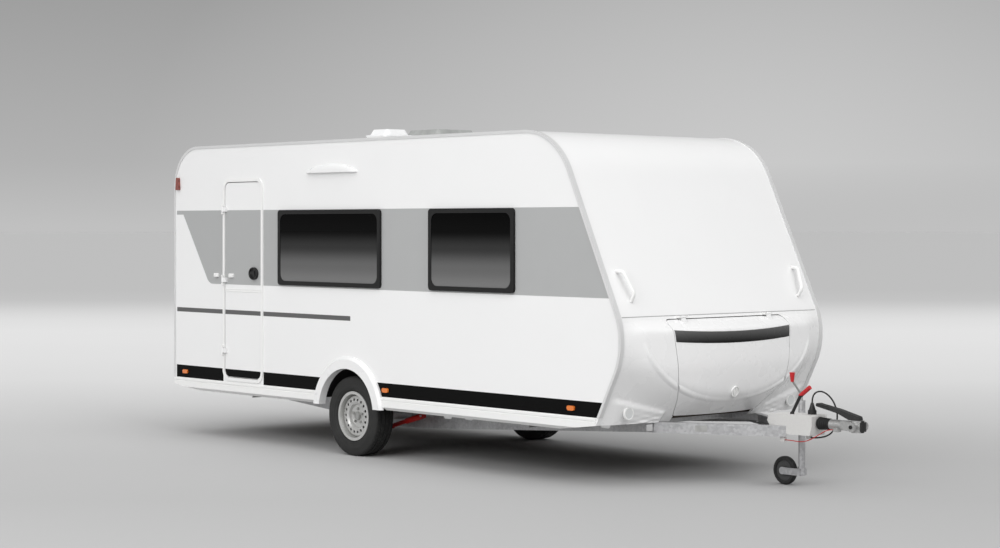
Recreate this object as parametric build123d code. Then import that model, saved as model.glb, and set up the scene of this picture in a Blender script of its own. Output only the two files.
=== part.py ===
"""Single-axle travel caravan, standing level on its road wheels and its jockey wheel.

Millimetres. While modelling, x runs forward from the axle, y to the left and z up from the ground.
save() then moves every piece so that the origin lies under the middle of the whole length.
"""
from math import atan, cos, degrees, hypot, radians, sin, sqrt, tan
from pathlib import Path

from build123d import *

# Clearances
MOVING_GAP = 6
SEAT_GAP = 0.3
PIN_GAP = 0.3

# Road wheels, which set the height of everything that they carry
TYRE_RADIUS = 314.5
TYRE_WIDTH = 195
RIM_RADIUS = 178
RIM_FLANGE = 17
RIM_WIDTH = 140
RIM_SHEET = 6
RIM_HOLES = 18
RIM_HOLE_RADIUS = 11
RIM_HOLE_INSET = 50
RIM_DISH = 66
RIM_BULGE = 28
TYRE_RIM_STEP = 24
TYRE_SHOULDER = 24
TYRE_ROUNDING = 16
HUB_FACE = 24
WHEEL_INSET = 120

# Body shell
BODY_WIDTH = 2120
WALL = 30
REAR_OVERHANG = 2505
ROOF_Z = 2500
BODY_OVER_AXLE = 125.5
FLOOR_THICKNESS = 45
FLOOR_FRONT_GAP = 53
FRONT_SLOPE = 0.475
NOSE_X = 3090
NOSE_Z = 1012
TOE_SETBACK = 297
REAR_TOP_RADIUS = 345
FRONT_TOP_RADIUS = 510
NOSE_RADIUS = 485
SEAM_RISE = 178
BODY_BOTTOM_Z = TYRE_RADIUS + BODY_OVER_AXLE
HALF_WIDTH = BODY_WIDTH / 2
INNER_HALF = HALF_WIDTH - WALL
FLOOR_TOP_Z = BODY_BOTTOM_Z + FLOOR_THICKNESS
TOE_X = NOSE_X - TOE_SETBACK
SEAM_Z = NOSE_Z + SEAM_RISE
FRONT_TOP_X = NOSE_X - FRONT_SLOPE * (ROOF_Z - NOSE_Z)
ROOF_JOINT_Z = ROOF_Z - REAR_TOP_RADIUS
CLEAR_OF_BODY = 9000

# Front moulding and gas-locker lid
MOULDING_WALL = 25
SHOULDER_HEIGHT = 110
CROWN = 95
PAD_MARGIN = 150
PAD_BELOW_SEAM = 90
PAD_DEPTH = 520
PAD_EDGE = 16
PAD_LIFT = 118
PAD_LIFT_SPAN = 470
PAD_LIFT_RISE = 120
PAD_FOOT_BELOW = 0.33
PAD_ROUNDING = 1.25
POD_LIFT = 26
POD_STEP = 46
POD_MARGIN = 110
POD_WIDTH = 530
POD_BROW_RISE = 170
POD_BROW_SLOPE = 0.226
LID_BELOW_SEAM = 26
LID_MARGIN = 260
LID_WAIST_IN = 55
LID_FOOT_IN = 140
LID_WAIST_RISE = 234
LID_RISE = 40
LID_TOP_RADIUS = 40
LID_WAIST_RADIUS = 400
LID_FOOT_RADIUS = 20
BULKHEAD_SETBACK = 233
BULKHEAD_THICKNESS = 15
SHELF_DROP = 50
SHELF_GAP = 10
LID_HINGE_IN = 170
LID_HINGE_PROUD = 14
LID_HINGE_RISE = 16
LID_TAB = 30
LID_TAB_THICKNESS = 26
LID_EAR_BACK = 40
GRID_ACROSS = 81
GRID_UP = 41
PAD_HALF_WIDTH = INNER_HALF - PAD_MARGIN
PAD_TOP_Z = SEAM_Z - PAD_BELOW_SEAM
PAD_LIFT_LOW_Z = BODY_BOTTOM_Z + PAD_LIFT_RISE
POD_INNER_Y = INNER_HALF - POD_WIDTH
POD_BROW_Z = BODY_BOTTOM_Z + POD_BROW_RISE
LID_TOP_Z = SEAM_Z - LID_BELOW_SEAM
LID_TOP_HALF = PAD_HALF_WIDTH - LID_MARGIN
LID_WAIST_HALF = LID_TOP_HALF - LID_WAIST_IN
LID_BOTTOM_HALF = LID_WAIST_HALF - LID_FOOT_IN
LID_BOTTOM_Z = BODY_BOTTOM_Z + LID_RISE
LID_WAIST_Z = LID_BOTTOM_Z + LID_WAIST_RISE
LID_HINGE_Y = LID_TOP_HALF - LID_HINGE_IN
BULKHEAD_X = TOE_X - BULKHEAD_SETBACK

# Edge rails and skirts
RAIL_PROUD = 6
RAIL_WIDTH = 16
SKIRT_RISE = 55
SKIRT_DROP = 48
SKIRT_PROUD = 8
SKIRT_SHEET = 6
SKIRT_GROOVE_DROP = 27
SKIRT_GROOVE = 5
SKIRT_LIP = 24
SKIRT_REAR_TAPER = 350
SKIRT_FRONT_TAPER = 390
SKIRT_TOP_Z = BODY_BOTTOM_Z + SKIRT_RISE
SKIRT_BOTTOM_Z = BODY_BOTTOM_Z - SKIRT_DROP
SKIRT_GROOVE_Z = SKIRT_TOP_Z - SKIRT_GROOVE_DROP

# Windows in both side walls and in the rear panel
WINDOW_DROP = 552
WINDOW_HEIGHT = 614
WINDOW_FRAME_WIDTH = 34
WINDOW_FRAME_LAP = 16
WINDOW_FRAME_RADIUS = 30
WINDOW_PANE_RADIUS = 62
WINDOW_PROUD = 20
PANE_THICKNESS = 12
PANE_PROUD = 15
KITCHEN_WINDOW_X = -260
KITCHEN_WINDOW_WIDTH = 1352
WINDOW_SPACING = 586.5
LOUNGE_WINDOW_WIDTH = 961
REAR_WINDOW_WIDTH = 1100
WINDOW_TOP_Z = ROOF_Z - WINDOW_DROP
WINDOW_BOTTOM_Z = WINDOW_TOP_Z - WINDOW_HEIGHT
KITCHEN_REAR_X = KITCHEN_WINDOW_X - KITCHEN_WINDOW_WIDTH / 2
KITCHEN_FRONT_X = KITCHEN_WINDOW_X + KITCHEN_WINDOW_WIDTH / 2
LOUNGE_REAR_X = KITCHEN_FRONT_X + WINDOW_SPACING
LOUNGE_WINDOW_X = LOUNGE_REAR_X + LOUNGE_WINDOW_WIDTH / 2

# Entrance door in the right wall, behind the kitchen window
DOOR_WINDOW_SPACING = 227
DOOR_WIDTH = 588
DOOR_RISE = 65
DOOR_DROP = 282
DOOR_RADIUS = 90
DOOR_FRAME_WIDTH = 28
DOOR_FRAME_LAP = 14
DOOR_FRAME_PROUD = 10
DOOR_PROUD = 4
DOOR_HINGE_OUT = 22
DOOR_HINGE_IN = 14
HINGE_PIN_RADIUS = 5
HINGE_EAR = 22
HINGE_EAR_IN = 6
HINGE_EAR_OUT = 9
HINGE_LEAF = 30
HINGE_LEAF_THICKNESS = 7
HINGE_SHARES = (0.149, 0.499, 0.849)
KNUCKLE_RADIUS = 9
KNUCKLE_HALF = 20
LOCK_INSET = 123
LOCK_RISE = 915
LOCK_LENGTH = 116
LOCK_HEIGHT = 104
LOCK_PROUD = 24
LOCK_ROUNDING = 10
DOOR_FRONT_X = KITCHEN_REAR_X - DOOR_WINDOW_SPACING
DOOR_REAR_X = DOOR_FRONT_X - DOOR_WIDTH
DOOR_BOTTOM_Z = BODY_BOTTOM_Z + DOOR_RISE
DOOR_TOP_Z = ROOF_Z - DOOR_DROP
DOOR_INSET = DOOR_FRAME_WIDTH + MOVING_GAP
LEAF_REAR_X = DOOR_REAR_X + DOOR_INSET
LOCK_X = DOOR_FRONT_X - LOCK_INSET
LOCK_Z = DOOR_BOTTOM_Z + LOCK_RISE
HINGE_X = DOOR_REAR_X + DOOR_HINGE_IN
HINGE_Y = -HALF_WIDTH - DOOR_HINGE_OUT

# Wheel arches
ARCH_ROOM = 37.5
ARCH_LIFT = 25.5
ARCH_WIDTH = 95
ARCH_LAP = 20
ARCH_PROUD = 36
ARCH_CHAMFER = 22
WHEEL_BOX_ROOM = 34
WHEEL_BOX_SHEET = 6
WHEEL_BOX_DEPTH = 240
ARCH_CENTRE_Z = TYRE_RADIUS + ARCH_LIFT
ARCH_INNER = TYRE_RADIUS + ARCH_ROOM
ARCH_OUTER = ARCH_INNER + ARCH_WIDTH
ARCH_CUT = ARCH_INNER + ARCH_LAP
WHEEL_BOX_RADIUS = ARCH_INNER + WHEEL_BOX_ROOM
WHEEL_BOX_OUTER = WHEEL_BOX_RADIUS + WHEEL_BOX_SHEET

# Running gear
DRUM_INSET = 56
DRUM_DEPTH = 66
HUB_BOSS = 50
HUB_RADIUS = 74
HUB_END = 20
STUB_RADIUS = 20
STUB_END = 30
ARM_REACH = 190
ARM_RISE = 16
ARM_THICKNESS = 40
ARM_HEIGHT = 84
AXLE_TUBE_RADIUS = 45
SHOCK_RADIUS = 23
SHOCK_PIN_RADIUS = 9
SHOCK_EYE = 20
SHOCK_STEP = 6
SHOCK_HALF = 18
SHOCK_PIN_SPARE = 2
SHOCK_EAR_HALF = 16
SHOCK_EAR_THICKNESS = 14
SHOCK_OUT = 100
SHOCK_LOW_X = 90
SHOCK_LOW_DROP = 92.5
SHOCK_HIGH_X = 480
SHOCK_HIGH_RISE = 15.5
WHEEL_Y = HALF_WIDTH - WHEEL_INSET
DRUM_RADIUS = RIM_RADIUS - DRUM_INSET
HUB_SEAT = WHEEL_Y + HUB_FACE - RIM_SHEET
ARM_Y = HUB_SEAT - HUB_BOSS - DRUM_DEPTH - MOVING_GAP - ARM_THICKNESS
DRUM_BACK = ARM_Y + ARM_THICKNESS + MOVING_GAP
AXLE_TUBE_Z = TYRE_RADIUS + ARM_RISE
SHOCK_LOW = (SHOCK_LOW_X, TYRE_RADIUS - SHOCK_LOW_DROP)
SHOCK_HIGH = (SHOCK_HIGH_X, TYRE_RADIUS + SHOCK_HIGH_RISE)

# Chassis
RAIL_INSET = 460
RAIL_SHEET = 5
RAIL_FLANGE = 42
RAIL_REAR_IN = 155
RAIL_FRONT_OUT = 37
RAIL_END_DROP = 70
RAIL_TAIL_DROP = 60
RAIL_DEEP_DROP = 225
RAIL_DEEP_HALF = 130
RAIL_LEVEL_RUN = 250
SLOT_LENGTH = 110
SLOT_WIDTH = 50
SLOT_PITCH = 250
SLOT_MARGIN = 350
CROSS_MEMBER_WIDTH = 50
CROSS_MEMBER_HEIGHT = 52
CROSS_MEMBER_SHARES = (0.077, 0.319, 0.724, 0.936)
BEAM_TUCK = 25
BEAM_LAP = 90
BEAM_DROP = 74
BEAM_SHEET = 6
BEAM_FLANGE = 45
RAIL_Y = HALF_WIDTH - RAIL_INSET
SHOCK_Y = RAIL_Y + SHOCK_OUT
RAIL_REAR_X = -REAR_OVERHANG + RAIL_REAR_IN
RAIL_FRONT_X = TOE_X + RAIL_FRONT_OUT
RAIL_LENGTH = RAIL_FRONT_X - RAIL_REAR_X
RAIL_LEVEL_X = RAIL_REAR_X + RAIL_LEVEL_RUN
RAIL_DEEP_REAR_X = ARM_REACH - RAIL_DEEP_HALF
RAIL_DEEP_FRONT_X = ARM_REACH + RAIL_DEEP_HALF
RAIL_END_Z = BODY_BOTTOM_Z - RAIL_END_DROP
RAIL_TAIL_Z = BODY_BOTTOM_Z - RAIL_TAIL_DROP
RAIL_DEEP_Z = BODY_BOTTOM_Z - RAIL_DEEP_DROP
BEAM_BOTTOM_Z = BODY_BOTTOM_Z - BEAM_DROP

# Drawbar
HOUSING_AHEAD = 697
HOUSING_LENGTH = 400
HOUSING_HALF = 80
HOUSING_DROP = 55
HOUSING_RISE = 88
HOUSING_LEAN = 30
HOUSING_CHIN = 20
BEAM_APEX_AHEAD = 307
SHAFT_RISE = 30
SHAFT_RADIUS = 25
SHAFT_SOCKET = 60
SLEEVE_SHEET = 10
BELLOWS_LENGTH = 105
BELLOWS_RADIUS = 44
BELLOWS_FOLDS = 6
FOLD_DEPTH = 9
BELLOWS_TAPER = 6
BALL_AHEAD = 332
BALL_RADIUS = 25.2
HEAD_RADIUS = 44
HEAD_REACH = 62
HEAD_DROP = 40
HEAD_RISE = 42
HEAD_BACK = 130
HEAD_BACK_HALF = 36
HEAD_NOSE_HALF = 30
HEAD_NOSE_ROUNDING = 26
HEAD_STEP = 10
DISC_RADIUS = 31
DISC_HALF = 76
CABLE_LUG_BACK = 162
CABLE_LUG = 40
CABLE_LUG_Y = -50
CABLE_LUG_DROP = 30
LEVER_HALF = 24
PLUG_BACK = 62
PLUG_HEIGHT = 78
PLUG_RADIUS = 30
GLAND_BACK = 114
GLAND_Y = 50
GLAND_DROP = 25
RELAY_AHEAD = 150
RELAY_Y = -62
RELAY_DROP = 43
LUG_LENGTH = 35
LUG_HALF = 13
LEAD_RADIUS = 5.5
CABLE_RADIUS = 3
CORD_RUN = 60
CORD_BEND = 3
HANDBRAKE_AHEAD = 202
HANDBRAKE_Y = -50
HANDBRAKE_RADIUS = 11
GRIP_RADIUS = 15
BRAKE_SINK = 14
BRAKE_KNEE = (74, 0, 126)
BRAKE_TIP = (158, 0, 188)
HOUSING_REAR_X = TOE_X + HOUSING_AHEAD
HOUSING_FRONT_X = HOUSING_REAR_X + HOUSING_LENGTH
BEAM_APEX_X = HOUSING_REAR_X + BEAM_APEX_AHEAD
BEAM_SLOPE = (RAIL_Y - BEAM_TUCK) / (BEAM_APEX_X - RAIL_FRONT_X)
HOUSING_BOTTOM_Z = BODY_BOTTOM_Z - HOUSING_DROP
HOUSING_TOP_Z = BODY_BOTTOM_Z + HOUSING_RISE
HOUSING_DEPTH = HOUSING_TOP_Z - HOUSING_BOTTOM_Z
SHAFT_Z = BODY_BOTTOM_Z + SHAFT_RISE
BALL_X = HOUSING_FRONT_X + BALL_AHEAD
HEAD_BOTTOM_Z = SHAFT_Z - HEAD_DROP
LEVER_Z = SHAFT_Z + HEAD_RISE
CABLE_LUG_X = BALL_X - CABLE_LUG_BACK
CABLE_LUG_Z = SHAFT_Z - CABLE_LUG_DROP
PLUG_X = HOUSING_FRONT_X - PLUG_BACK
PLUG_TOP_Z = HOUSING_TOP_Z + PLUG_HEIGHT
GLAND_X = HOUSING_FRONT_X - GLAND_BACK
GLAND_Z = HOUSING_BOTTOM_Z - GLAND_DROP
RELAY_X = HOUSING_REAR_X + RELAY_AHEAD
RELAY_Z = HOUSING_BOTTOM_Z - RELAY_DROP
HANDBRAKE_X = HOUSING_REAR_X + HANDBRAKE_AHEAD

# Jockey wheel
JOCKEY_AHEAD = 120
JOCKEY_OUT = 70
JOCKEY_TUBE_RADIUS = 24
JOCKEY_TUBE_SHEET = 4
JOCKEY_TUBE_ABOVE = 52
JOCKEY_TUBE_PROUD = 94
JOCKEY_CAP = 30
JOCKEY_WHEEL_RADIUS = 100
JOCKEY_WHEEL_WIDTH = 50
JOCKEY_TRAIL_ROOM = 50
JOCKEY_BEAM_ROOM = 8
JOCKEY_PIN_RADIUS = 8
JOCKEY_HUB_RADIUS = 24
JOCKEY_TREAD = 26
JOCKEY_DISH = 14
JOCKEY_DRAFT = 4
JOCKEY_ROUNDING = 6
JOCKEY_STEM = 88
FORK_DROP = 24
FORK_HEIGHT = 48
FORK_BRIDGE = 36
FORK_NOSE = 10
CHEEK = 8
CHEEK_RADIUS = 26
CLAMP_SHEET = 10
CLAMP_DROP = 22
CLAMP_HEIGHT = 58
CLAMP_ARM_HALF = 20
CRANK_RADIUS = 7
CRANK_RISE = 36
CRANK_ARM = (10, -115, 107)
KNOB_HEIGHT = 66
KNOB_FOOT_RADIUS = 11
KNOB_TOP_RADIUS = 20
JOCKEY_X = HOUSING_REAR_X + JOCKEY_AHEAD
BEAM_AT_JOCKEY = (BEAM_APEX_X - JOCKEY_X) * BEAM_SLOPE
JOCKEY_OFF_BEAM = (JOCKEY_TUBE_RADIUS + JOCKEY_BEAM_ROOM) * hypot(1, BEAM_SLOPE)
JOCKEY_Y = max(HOUSING_HALF + JOCKEY_OUT, BEAM_AT_JOCKEY + JOCKEY_OFF_BEAM)
JOCKEY_TRAIL = JOCKEY_WHEEL_RADIUS + JOCKEY_TRAIL_ROOM
JOCKEY_TUBE_BOTTOM_Z = JOCKEY_WHEEL_RADIUS + JOCKEY_TUBE_ABOVE
CLAMP_BOTTOM_Z = SHAFT_Z - CLAMP_DROP
CLAMP_TOP_Z = CLAMP_BOTTOM_Z + CLAMP_HEIGHT
JOCKEY_TUBE_TOP_Z = CLAMP_TOP_Z + JOCKEY_TUBE_PROUD
STEM_RADIUS = JOCKEY_TUBE_RADIUS - JOCKEY_TUBE_SHEET
STEM_TOP_Z = JOCKEY_TUBE_BOTTOM_Z + JOCKEY_STEM
FORK_TOP_Z = JOCKEY_TUBE_BOTTOM_Z - MOVING_GAP
FORK_BOTTOM_Z = JOCKEY_WHEEL_RADIUS - FORK_DROP

# Corner steadies
STEADY_INSET = 260
STEADY_REAR_IN = 375
STEADY_FRONT_IN = 413
STEADY_LENGTH = 540
STEADY_WIDTH = 42
STEADY_HEIGHT = 30
STEADY_PIN_RADIUS = 8
STEADY_DROP = 42
STEADY_FOOT = 110
STEADY_FOOT_WIDTH = 96
STEADY_FOOT_SHEET = 8
STEADY_FOOT_ANGLE = 42
BRACKET_SHEET = 8
BRACKET_HALF = 24
BRACKET_BELOW = 16
STEADY_Y = HALF_WIDTH - STEADY_INSET
STEADY_REAR_X = -REAR_OVERHANG + STEADY_REAR_IN
STEADY_FRONT_X = TOE_X - STEADY_FRONT_IN
PIVOT_Z = BODY_BOTTOM_Z - STEADY_DROP

# Roof, lamps and fittings
SMALL_ROOFLIGHT_X = -40
SMALL_ROOFLIGHT_IN = 440
SMALL_ROOFLIGHT = 280
SMALL_DOME = 58
LARGE_ROOFLIGHT_X = -130
LARGE_ROOFLIGHT = 470
LARGE_DOME = 74
ROOFLIGHT_CURB = 34
ROOFLIGHT_LAP = 40
ROOFLIGHT_RIM = 12
ROOFLIGHT_EAVE = 8
DOME_TAPER = 34
AWNING_LAMP_SHIFT = 42
AWNING_LAMP_LENGTH = 660
AWNING_LAMP_DROP = 256
AWNING_LAMP_HEIGHT = 71
AWNING_LAMP_ROUNDING = 260
AWNING_LAMP_PROUD = 36
MARKER_RISE = 53
MARKER_LENGTH = 72
MARKER_HEIGHT = 34
MARKER_PROUD = 14
MARKER_ROUNDING = 15
MARKER_REAR_IN = 174
MARKER_ARCH_OUT = 22
MARKER_FRONT_IN = 244
CORNER_MARKER_IN = 35
CORNER_MARKER_WIDTH = 52
CORNER_MARKER_TAPER = 10
CORNER_MARKER_HEIGHT = 108
CORNER_MARKER_DROP = 23
CORNER_MARKER_PROUD = 22
CORNER_MARKER_ROUNDING = 6
FRONT_LAMP_IN = 206
FRONT_LAMP_RISE = 80
FRONT_LAMP_RADIUS = 38
FRONT_LAMP_PROUD = 20
BUMPER_DEPTH = 42
BUMPER_HEIGHT = 260
BUMPER_SHOULDER = 40
BUMPER_ROUNDING = 14
LENS_DEPTH = 12
LENS_WIDTH = 350
LENS_HEIGHT = 120
LENS_IN = 40
LENS_RISE = 40
LENS_ROUNDING = 40
HANDLE_RADIUS = 13
HANDLE_OUT = 58
HANDLE_IN = 132
HANDLE_LEAN = 50
HANDLE_RISE = 106
HANDLE_HEIGHT = 212
HANDLE_FOOT = 30
HANDLE_BEND = 36
VENT_MARGIN = 63
VENT_HEIGHT = 220
VENT_LOW_RISE = 320
VENT_HIGH_RISE = 1040
INLET_IN = 485
INLET_WIDTH = 150
INLET_HEIGHT = 180
INLET_RISE = 260
HATCH_PROUD = 16
HATCH_ROUNDING = 16
SMALL_ROOFLIGHT_Y = -HALF_WIDTH + SMALL_ROOFLIGHT_IN
AWNING_LAMP_X = KITCHEN_WINDOW_X + AWNING_LAMP_SHIFT
AWNING_LAMP_Z = ROOF_Z - AWNING_LAMP_DROP
MARKER_Z = SKIRT_TOP_Z + MARKER_RISE
FRONT_LAMP_Y = HALF_WIDTH - FRONT_LAMP_IN
FRONT_LAMP_Z = BODY_BOTTOM_Z + FRONT_LAMP_RISE
BUMPER_TOP_Z = BODY_BOTTOM_Z + BUMPER_HEIGHT

FRONT_END = BALL_X + HEAD_REACH
REAR_END = REAR_OVERHANG + BUMPER_DEPTH + LENS_DEPTH
ORIGIN_X = (FRONT_END - REAR_END) / 2

PARTS = Path("parts")
PARTS.mkdir(exist_ok=True)


def save(name, *shapes):
    """Write one node, with every solid of the shapes moved to the common origin."""
    solids = [Pos(-ORIGIN_X, 0, 0) * solid for shape in shapes for solid in shape.solids()]
    export_step(Compound(solids), str(PARTS / f"{name}.step"))


def corner_face(rows):
    """A closed face from corner rows of (across, up, radius)."""
    face = make_face(Polyline(*[(u, v) for u, v, radius in rows], close=True)).face()
    for u, v, radius in rows:
        if radius:
            corner = face.vertices().sort_by_distance((u, v, 0))[0]
            face = face.fillet_2d(radius, [corner])
    return face


def along_x(face, x0, x1):
    """A face drawn as (y, z), run from x0 to x1."""
    return extrude(Plane.YZ.offset(x0) * face, x1 - x0, dir=(1, 0, 0))


def along_y(face, y0, y1):
    """A face drawn as (x, z), run from y0 to y1."""
    return extrude(Plane.XZ.offset(-y0) * face, y1 - y0, dir=(0, 1, 0))


def along_z(face, z0, z1):
    """A face drawn as (x, y), run from z0 to z1."""
    return extrude(Plane.XY.offset(z0) * face, z1 - z0, dir=(0, 0, 1))


def block(x0, x1, y0, y1, z0, z1):
    """A box between two corners."""
    return Pos((x0 + x1) / 2, (y0 + y1) / 2, (z0 + z1) / 2) * Box(x1 - x0, y1 - y0, z1 - z0)


def rod(start, end, radius):
    """A round bar between two points."""
    start, end = Vector(*start), Vector(*end)
    return extrude(Plane(start, z_dir=end - start) * Circle(radius), (end - start).length)


def pin_y(x, z, y0, y1, radius):
    """A round bar across the vehicle."""
    return along_y(Pos(x, z) * Circle(radius), y0, y1)


def pin_z(x, y, z0, z1, radius):
    """An upright round bar."""
    return along_z(Pos(x, y) * Circle(radius), z0, z1)


def across(shape):
    """The same piece on the other side of the vehicle."""
    return mirror(shape, Plane.XZ)


def panel(x0, x1, z0, z1, radius):
    """A face with rounded corners, drawn between two corners."""
    return Pos((x0 + x1) / 2, (z0 + z1) / 2) * RectangleRounded(x1 - x0, z1 - z0, radius)


# The side outline of the body, and the strip that runs across between the walls
body_face = corner_face([
    (-REAR_OVERHANG, BODY_BOTTOM_Z, 0),
    (-REAR_OVERHANG, ROOF_Z, REAR_TOP_RADIUS),
    (FRONT_TOP_X, ROOF_Z, FRONT_TOP_RADIUS),
    (NOSE_X, NOSE_Z, NOSE_RADIUS),
    (TOE_X, BODY_BOTTOM_Z, 0),
])
inner_face = offset(body_face, -WALL).face()
shell_strip = along_y(body_face, -INNER_HALF, INNER_HALF)
shell_strip -= along_y(inner_face, -HALF_WIDTH, HALF_WIDTH)


def slab_between(z0, z1, x0=-CLEAR_OF_BODY, x1=CLEAR_OF_BODY):
    """All space between two heights, to cut the shell with."""
    return block(x0, x1, -HALF_WIDTH, HALF_WIDTH, z0, z1)


# Windows
WINDOWS = [
    # side of the body, centre along it, width
    ("right", KITCHEN_WINDOW_X, KITCHEN_WINDOW_WIDTH),
    ("right", LOUNGE_WINDOW_X, LOUNGE_WINDOW_WIDTH),
    ("left", KITCHEN_WINDOW_X, KITCHEN_WINDOW_WIDTH),
    ("left", LOUNGE_WINDOW_X, LOUNGE_WINDOW_WIDTH),
    ("rear", 0, REAR_WINDOW_WIDTH),
]


def on_side(side, face, depth, proud):
    """A face on a wall, run from depth below its skin to proud above it."""
    if side == "right":
        return along_y(face, -HALF_WIDTH - proud, -HALF_WIDTH + depth)
    if side == "left":
        return along_y(face, HALF_WIDTH - depth, HALF_WIDTH + proud)
    return along_x(face, -REAR_OVERHANG - proud, -REAR_OVERHANG + depth)


def window_face(centre, width, inset, radius):
    """The outline of a window, drawn in from its outer edge."""
    half = width / 2 - inset
    return panel(centre - half, centre + half, WINDOW_BOTTOM_Z + inset, WINDOW_TOP_Z - inset, radius)


def window_cut(side, centre, width):
    """The hole that a window needs in its wall."""
    return on_side(side, window_face(centre, width, WINDOW_FRAME_LAP, WINDOW_FRAME_RADIUS), WALL, 0)


def window_frame(side, centre, width):
    """A flange on the skin, with a lining through the wall."""
    daylight = window_face(centre, width, WINDOW_FRAME_WIDTH, WINDOW_PANE_RADIUS)
    flange = window_face(centre, width, 0, WINDOW_FRAME_RADIUS)
    lining = window_face(centre, width, WINDOW_FRAME_LAP, WINDOW_FRAME_RADIUS)
    whole = on_side(side, flange, 0, WINDOW_PROUD) + on_side(side, lining, WALL, 0)
    return whole - on_side(side, daylight, WALL, WINDOW_PROUD)


def window_pane(side, centre, width):
    """An acrylic pane inside its frame."""
    inset = WINDOW_FRAME_WIDTH + SEAT_GAP
    face = window_face(centre, width, inset, WINDOW_PANE_RADIUS - SEAT_GAP)
    return on_side(side, face, PANE_THICKNESS - PANE_PROUD, PANE_PROUD)


frames = []
panes = []
cuts = {"right": [], "left": [], "rear": []}
for side, centre, width in WINDOWS:
    frames.append(window_frame(side, centre, width))
    panes.append(window_pane(side, centre, width))
    cuts[side].append(window_cut(side, centre, width))
save("window_frames", *frames)
save("window_panes", *panes)


# Entrance door, its frame and its hinges
def door_face(inset):
    """The outline of the door opening, drawn in from the frame's outer edge."""
    return panel(
        DOOR_REAR_X + inset, DOOR_FRONT_X - inset,
        DOOR_BOTTOM_Z + inset, DOOR_TOP_Z - inset, DOOR_RADIUS - inset,
    )


door_frame = on_side("right", door_face(0), 0, DOOR_FRAME_PROUD)
door_frame += on_side("right", door_face(DOOR_FRAME_LAP), WALL, 0)
door_frame -= on_side("right", door_face(DOOR_FRAME_WIDTH), WALL, DOOR_FRAME_PROUD)
save("door_frame", door_frame)

door = on_side("right", door_face(DOOR_INSET), WALL - DOOR_PROUD, DOOR_PROUD)
leaf_skin_y = -HALF_WIDTH - DOOR_PROUD
leaf_out_y = HINGE_Y - HINGE_LEAF_THICKNESS / 3
hinge_pins = []
for share in HINGE_SHARES:
    height = DOOR_BOTTOM_Z + share * (DOOR_TOP_Z - DOOR_BOTTOM_Z)
    low, high = height - KNUCKLE_HALF, height + KNUCKLE_HALF
    leaf_end_x = LEAF_REAR_X + HINGE_LEAF
    door += pin_z(HINGE_X, HINGE_Y, low, high, KNUCKLE_RADIUS)
    door += block(HINGE_X, leaf_end_x, leaf_out_y, leaf_out_y + HINGE_LEAF_THICKNESS, low, high)
    door += block(LEAF_REAR_X + MOVING_GAP, leaf_end_x, leaf_out_y, leaf_skin_y, low, high)
    door -= pin_z(HINGE_X, HINGE_Y, low, high, HINGE_PIN_RADIUS + PIN_GAP)
    pin = pin_z(HINGE_X, HINGE_Y, low - HINGE_EAR, high + HINGE_EAR, HINGE_PIN_RADIUS)
    for ear_low in (low - HINGE_EAR, high + MOVING_GAP):
        pin += block(
            HINGE_X - HINGE_EAR_OUT, HINGE_X + HINGE_EAR_IN,
            HINGE_Y - HINGE_EAR_IN, -HALF_WIDTH - DOOR_FRAME_PROUD,
            ear_low, ear_low + HINGE_EAR - MOVING_GAP,
        )
    hinge_pins.append(pin)
save("entrance_door", door)

lock_shape = Pos(LOCK_X, LOCK_Z) * SlotOverall(LOCK_LENGTH, LOCK_HEIGHT)
lock = along_y(lock_shape, leaf_skin_y - LOCK_PROUD, leaf_skin_y)
lock = fillet(lock.faces().sort_by(Axis.Y)[0].edges(), LOCK_ROUNDING)
save("door_lock", lock)

# Side walls, with the arches cut out
arch_hole = Pos(0, ARCH_CENTRE_Z) * Circle(ARCH_CUT)
wall_right = on_side("right", body_face, WALL, 0) - on_side("right", arch_hole, WALL, 0)
wall_left = on_side("left", body_face, WALL, 0) - on_side("left", arch_hole, WALL, 0)
wall_right -= on_side("right", door_face(DOOR_FRAME_LAP), WALL, 0)
for cut in cuts["right"]:
    wall_right -= cut
for cut in cuts["left"]:
    wall_left -= cut
save("wall_right", wall_right)
save("wall_left", wall_left)

# Panels across the body
rear_panel = shell_strip & slab_between(BODY_BOTTOM_Z, ROOF_JOINT_Z, x1=-REAR_OVERHANG + WALL)
for cut in cuts["rear"]:
    rear_panel -= cut
save("rear_panel", rear_panel)
save("front_panel", shell_strip & slab_between(SEAM_Z, ROOF_JOINT_Z, x0=0))

ROOFLIGHTS = [
    # x, y, outer size, height of the dome
    (SMALL_ROOFLIGHT_X, SMALL_ROOFLIGHT_Y, SMALL_ROOFLIGHT, SMALL_DOME),
    (LARGE_ROOFLIGHT_X, 0, LARGE_ROOFLIGHT, LARGE_DOME),
]
CURB_TOP_Z = ROOF_Z + ROOFLIGHT_CURB
RIM_TOP_Z = CURB_TOP_Z + ROOFLIGHT_RIM


def rooflight_face(x, y, size, rounding):
    """A square with rounded corners on the roof."""
    return Pos(x, y) * RectangleRounded(size, size, rounding)


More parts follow.
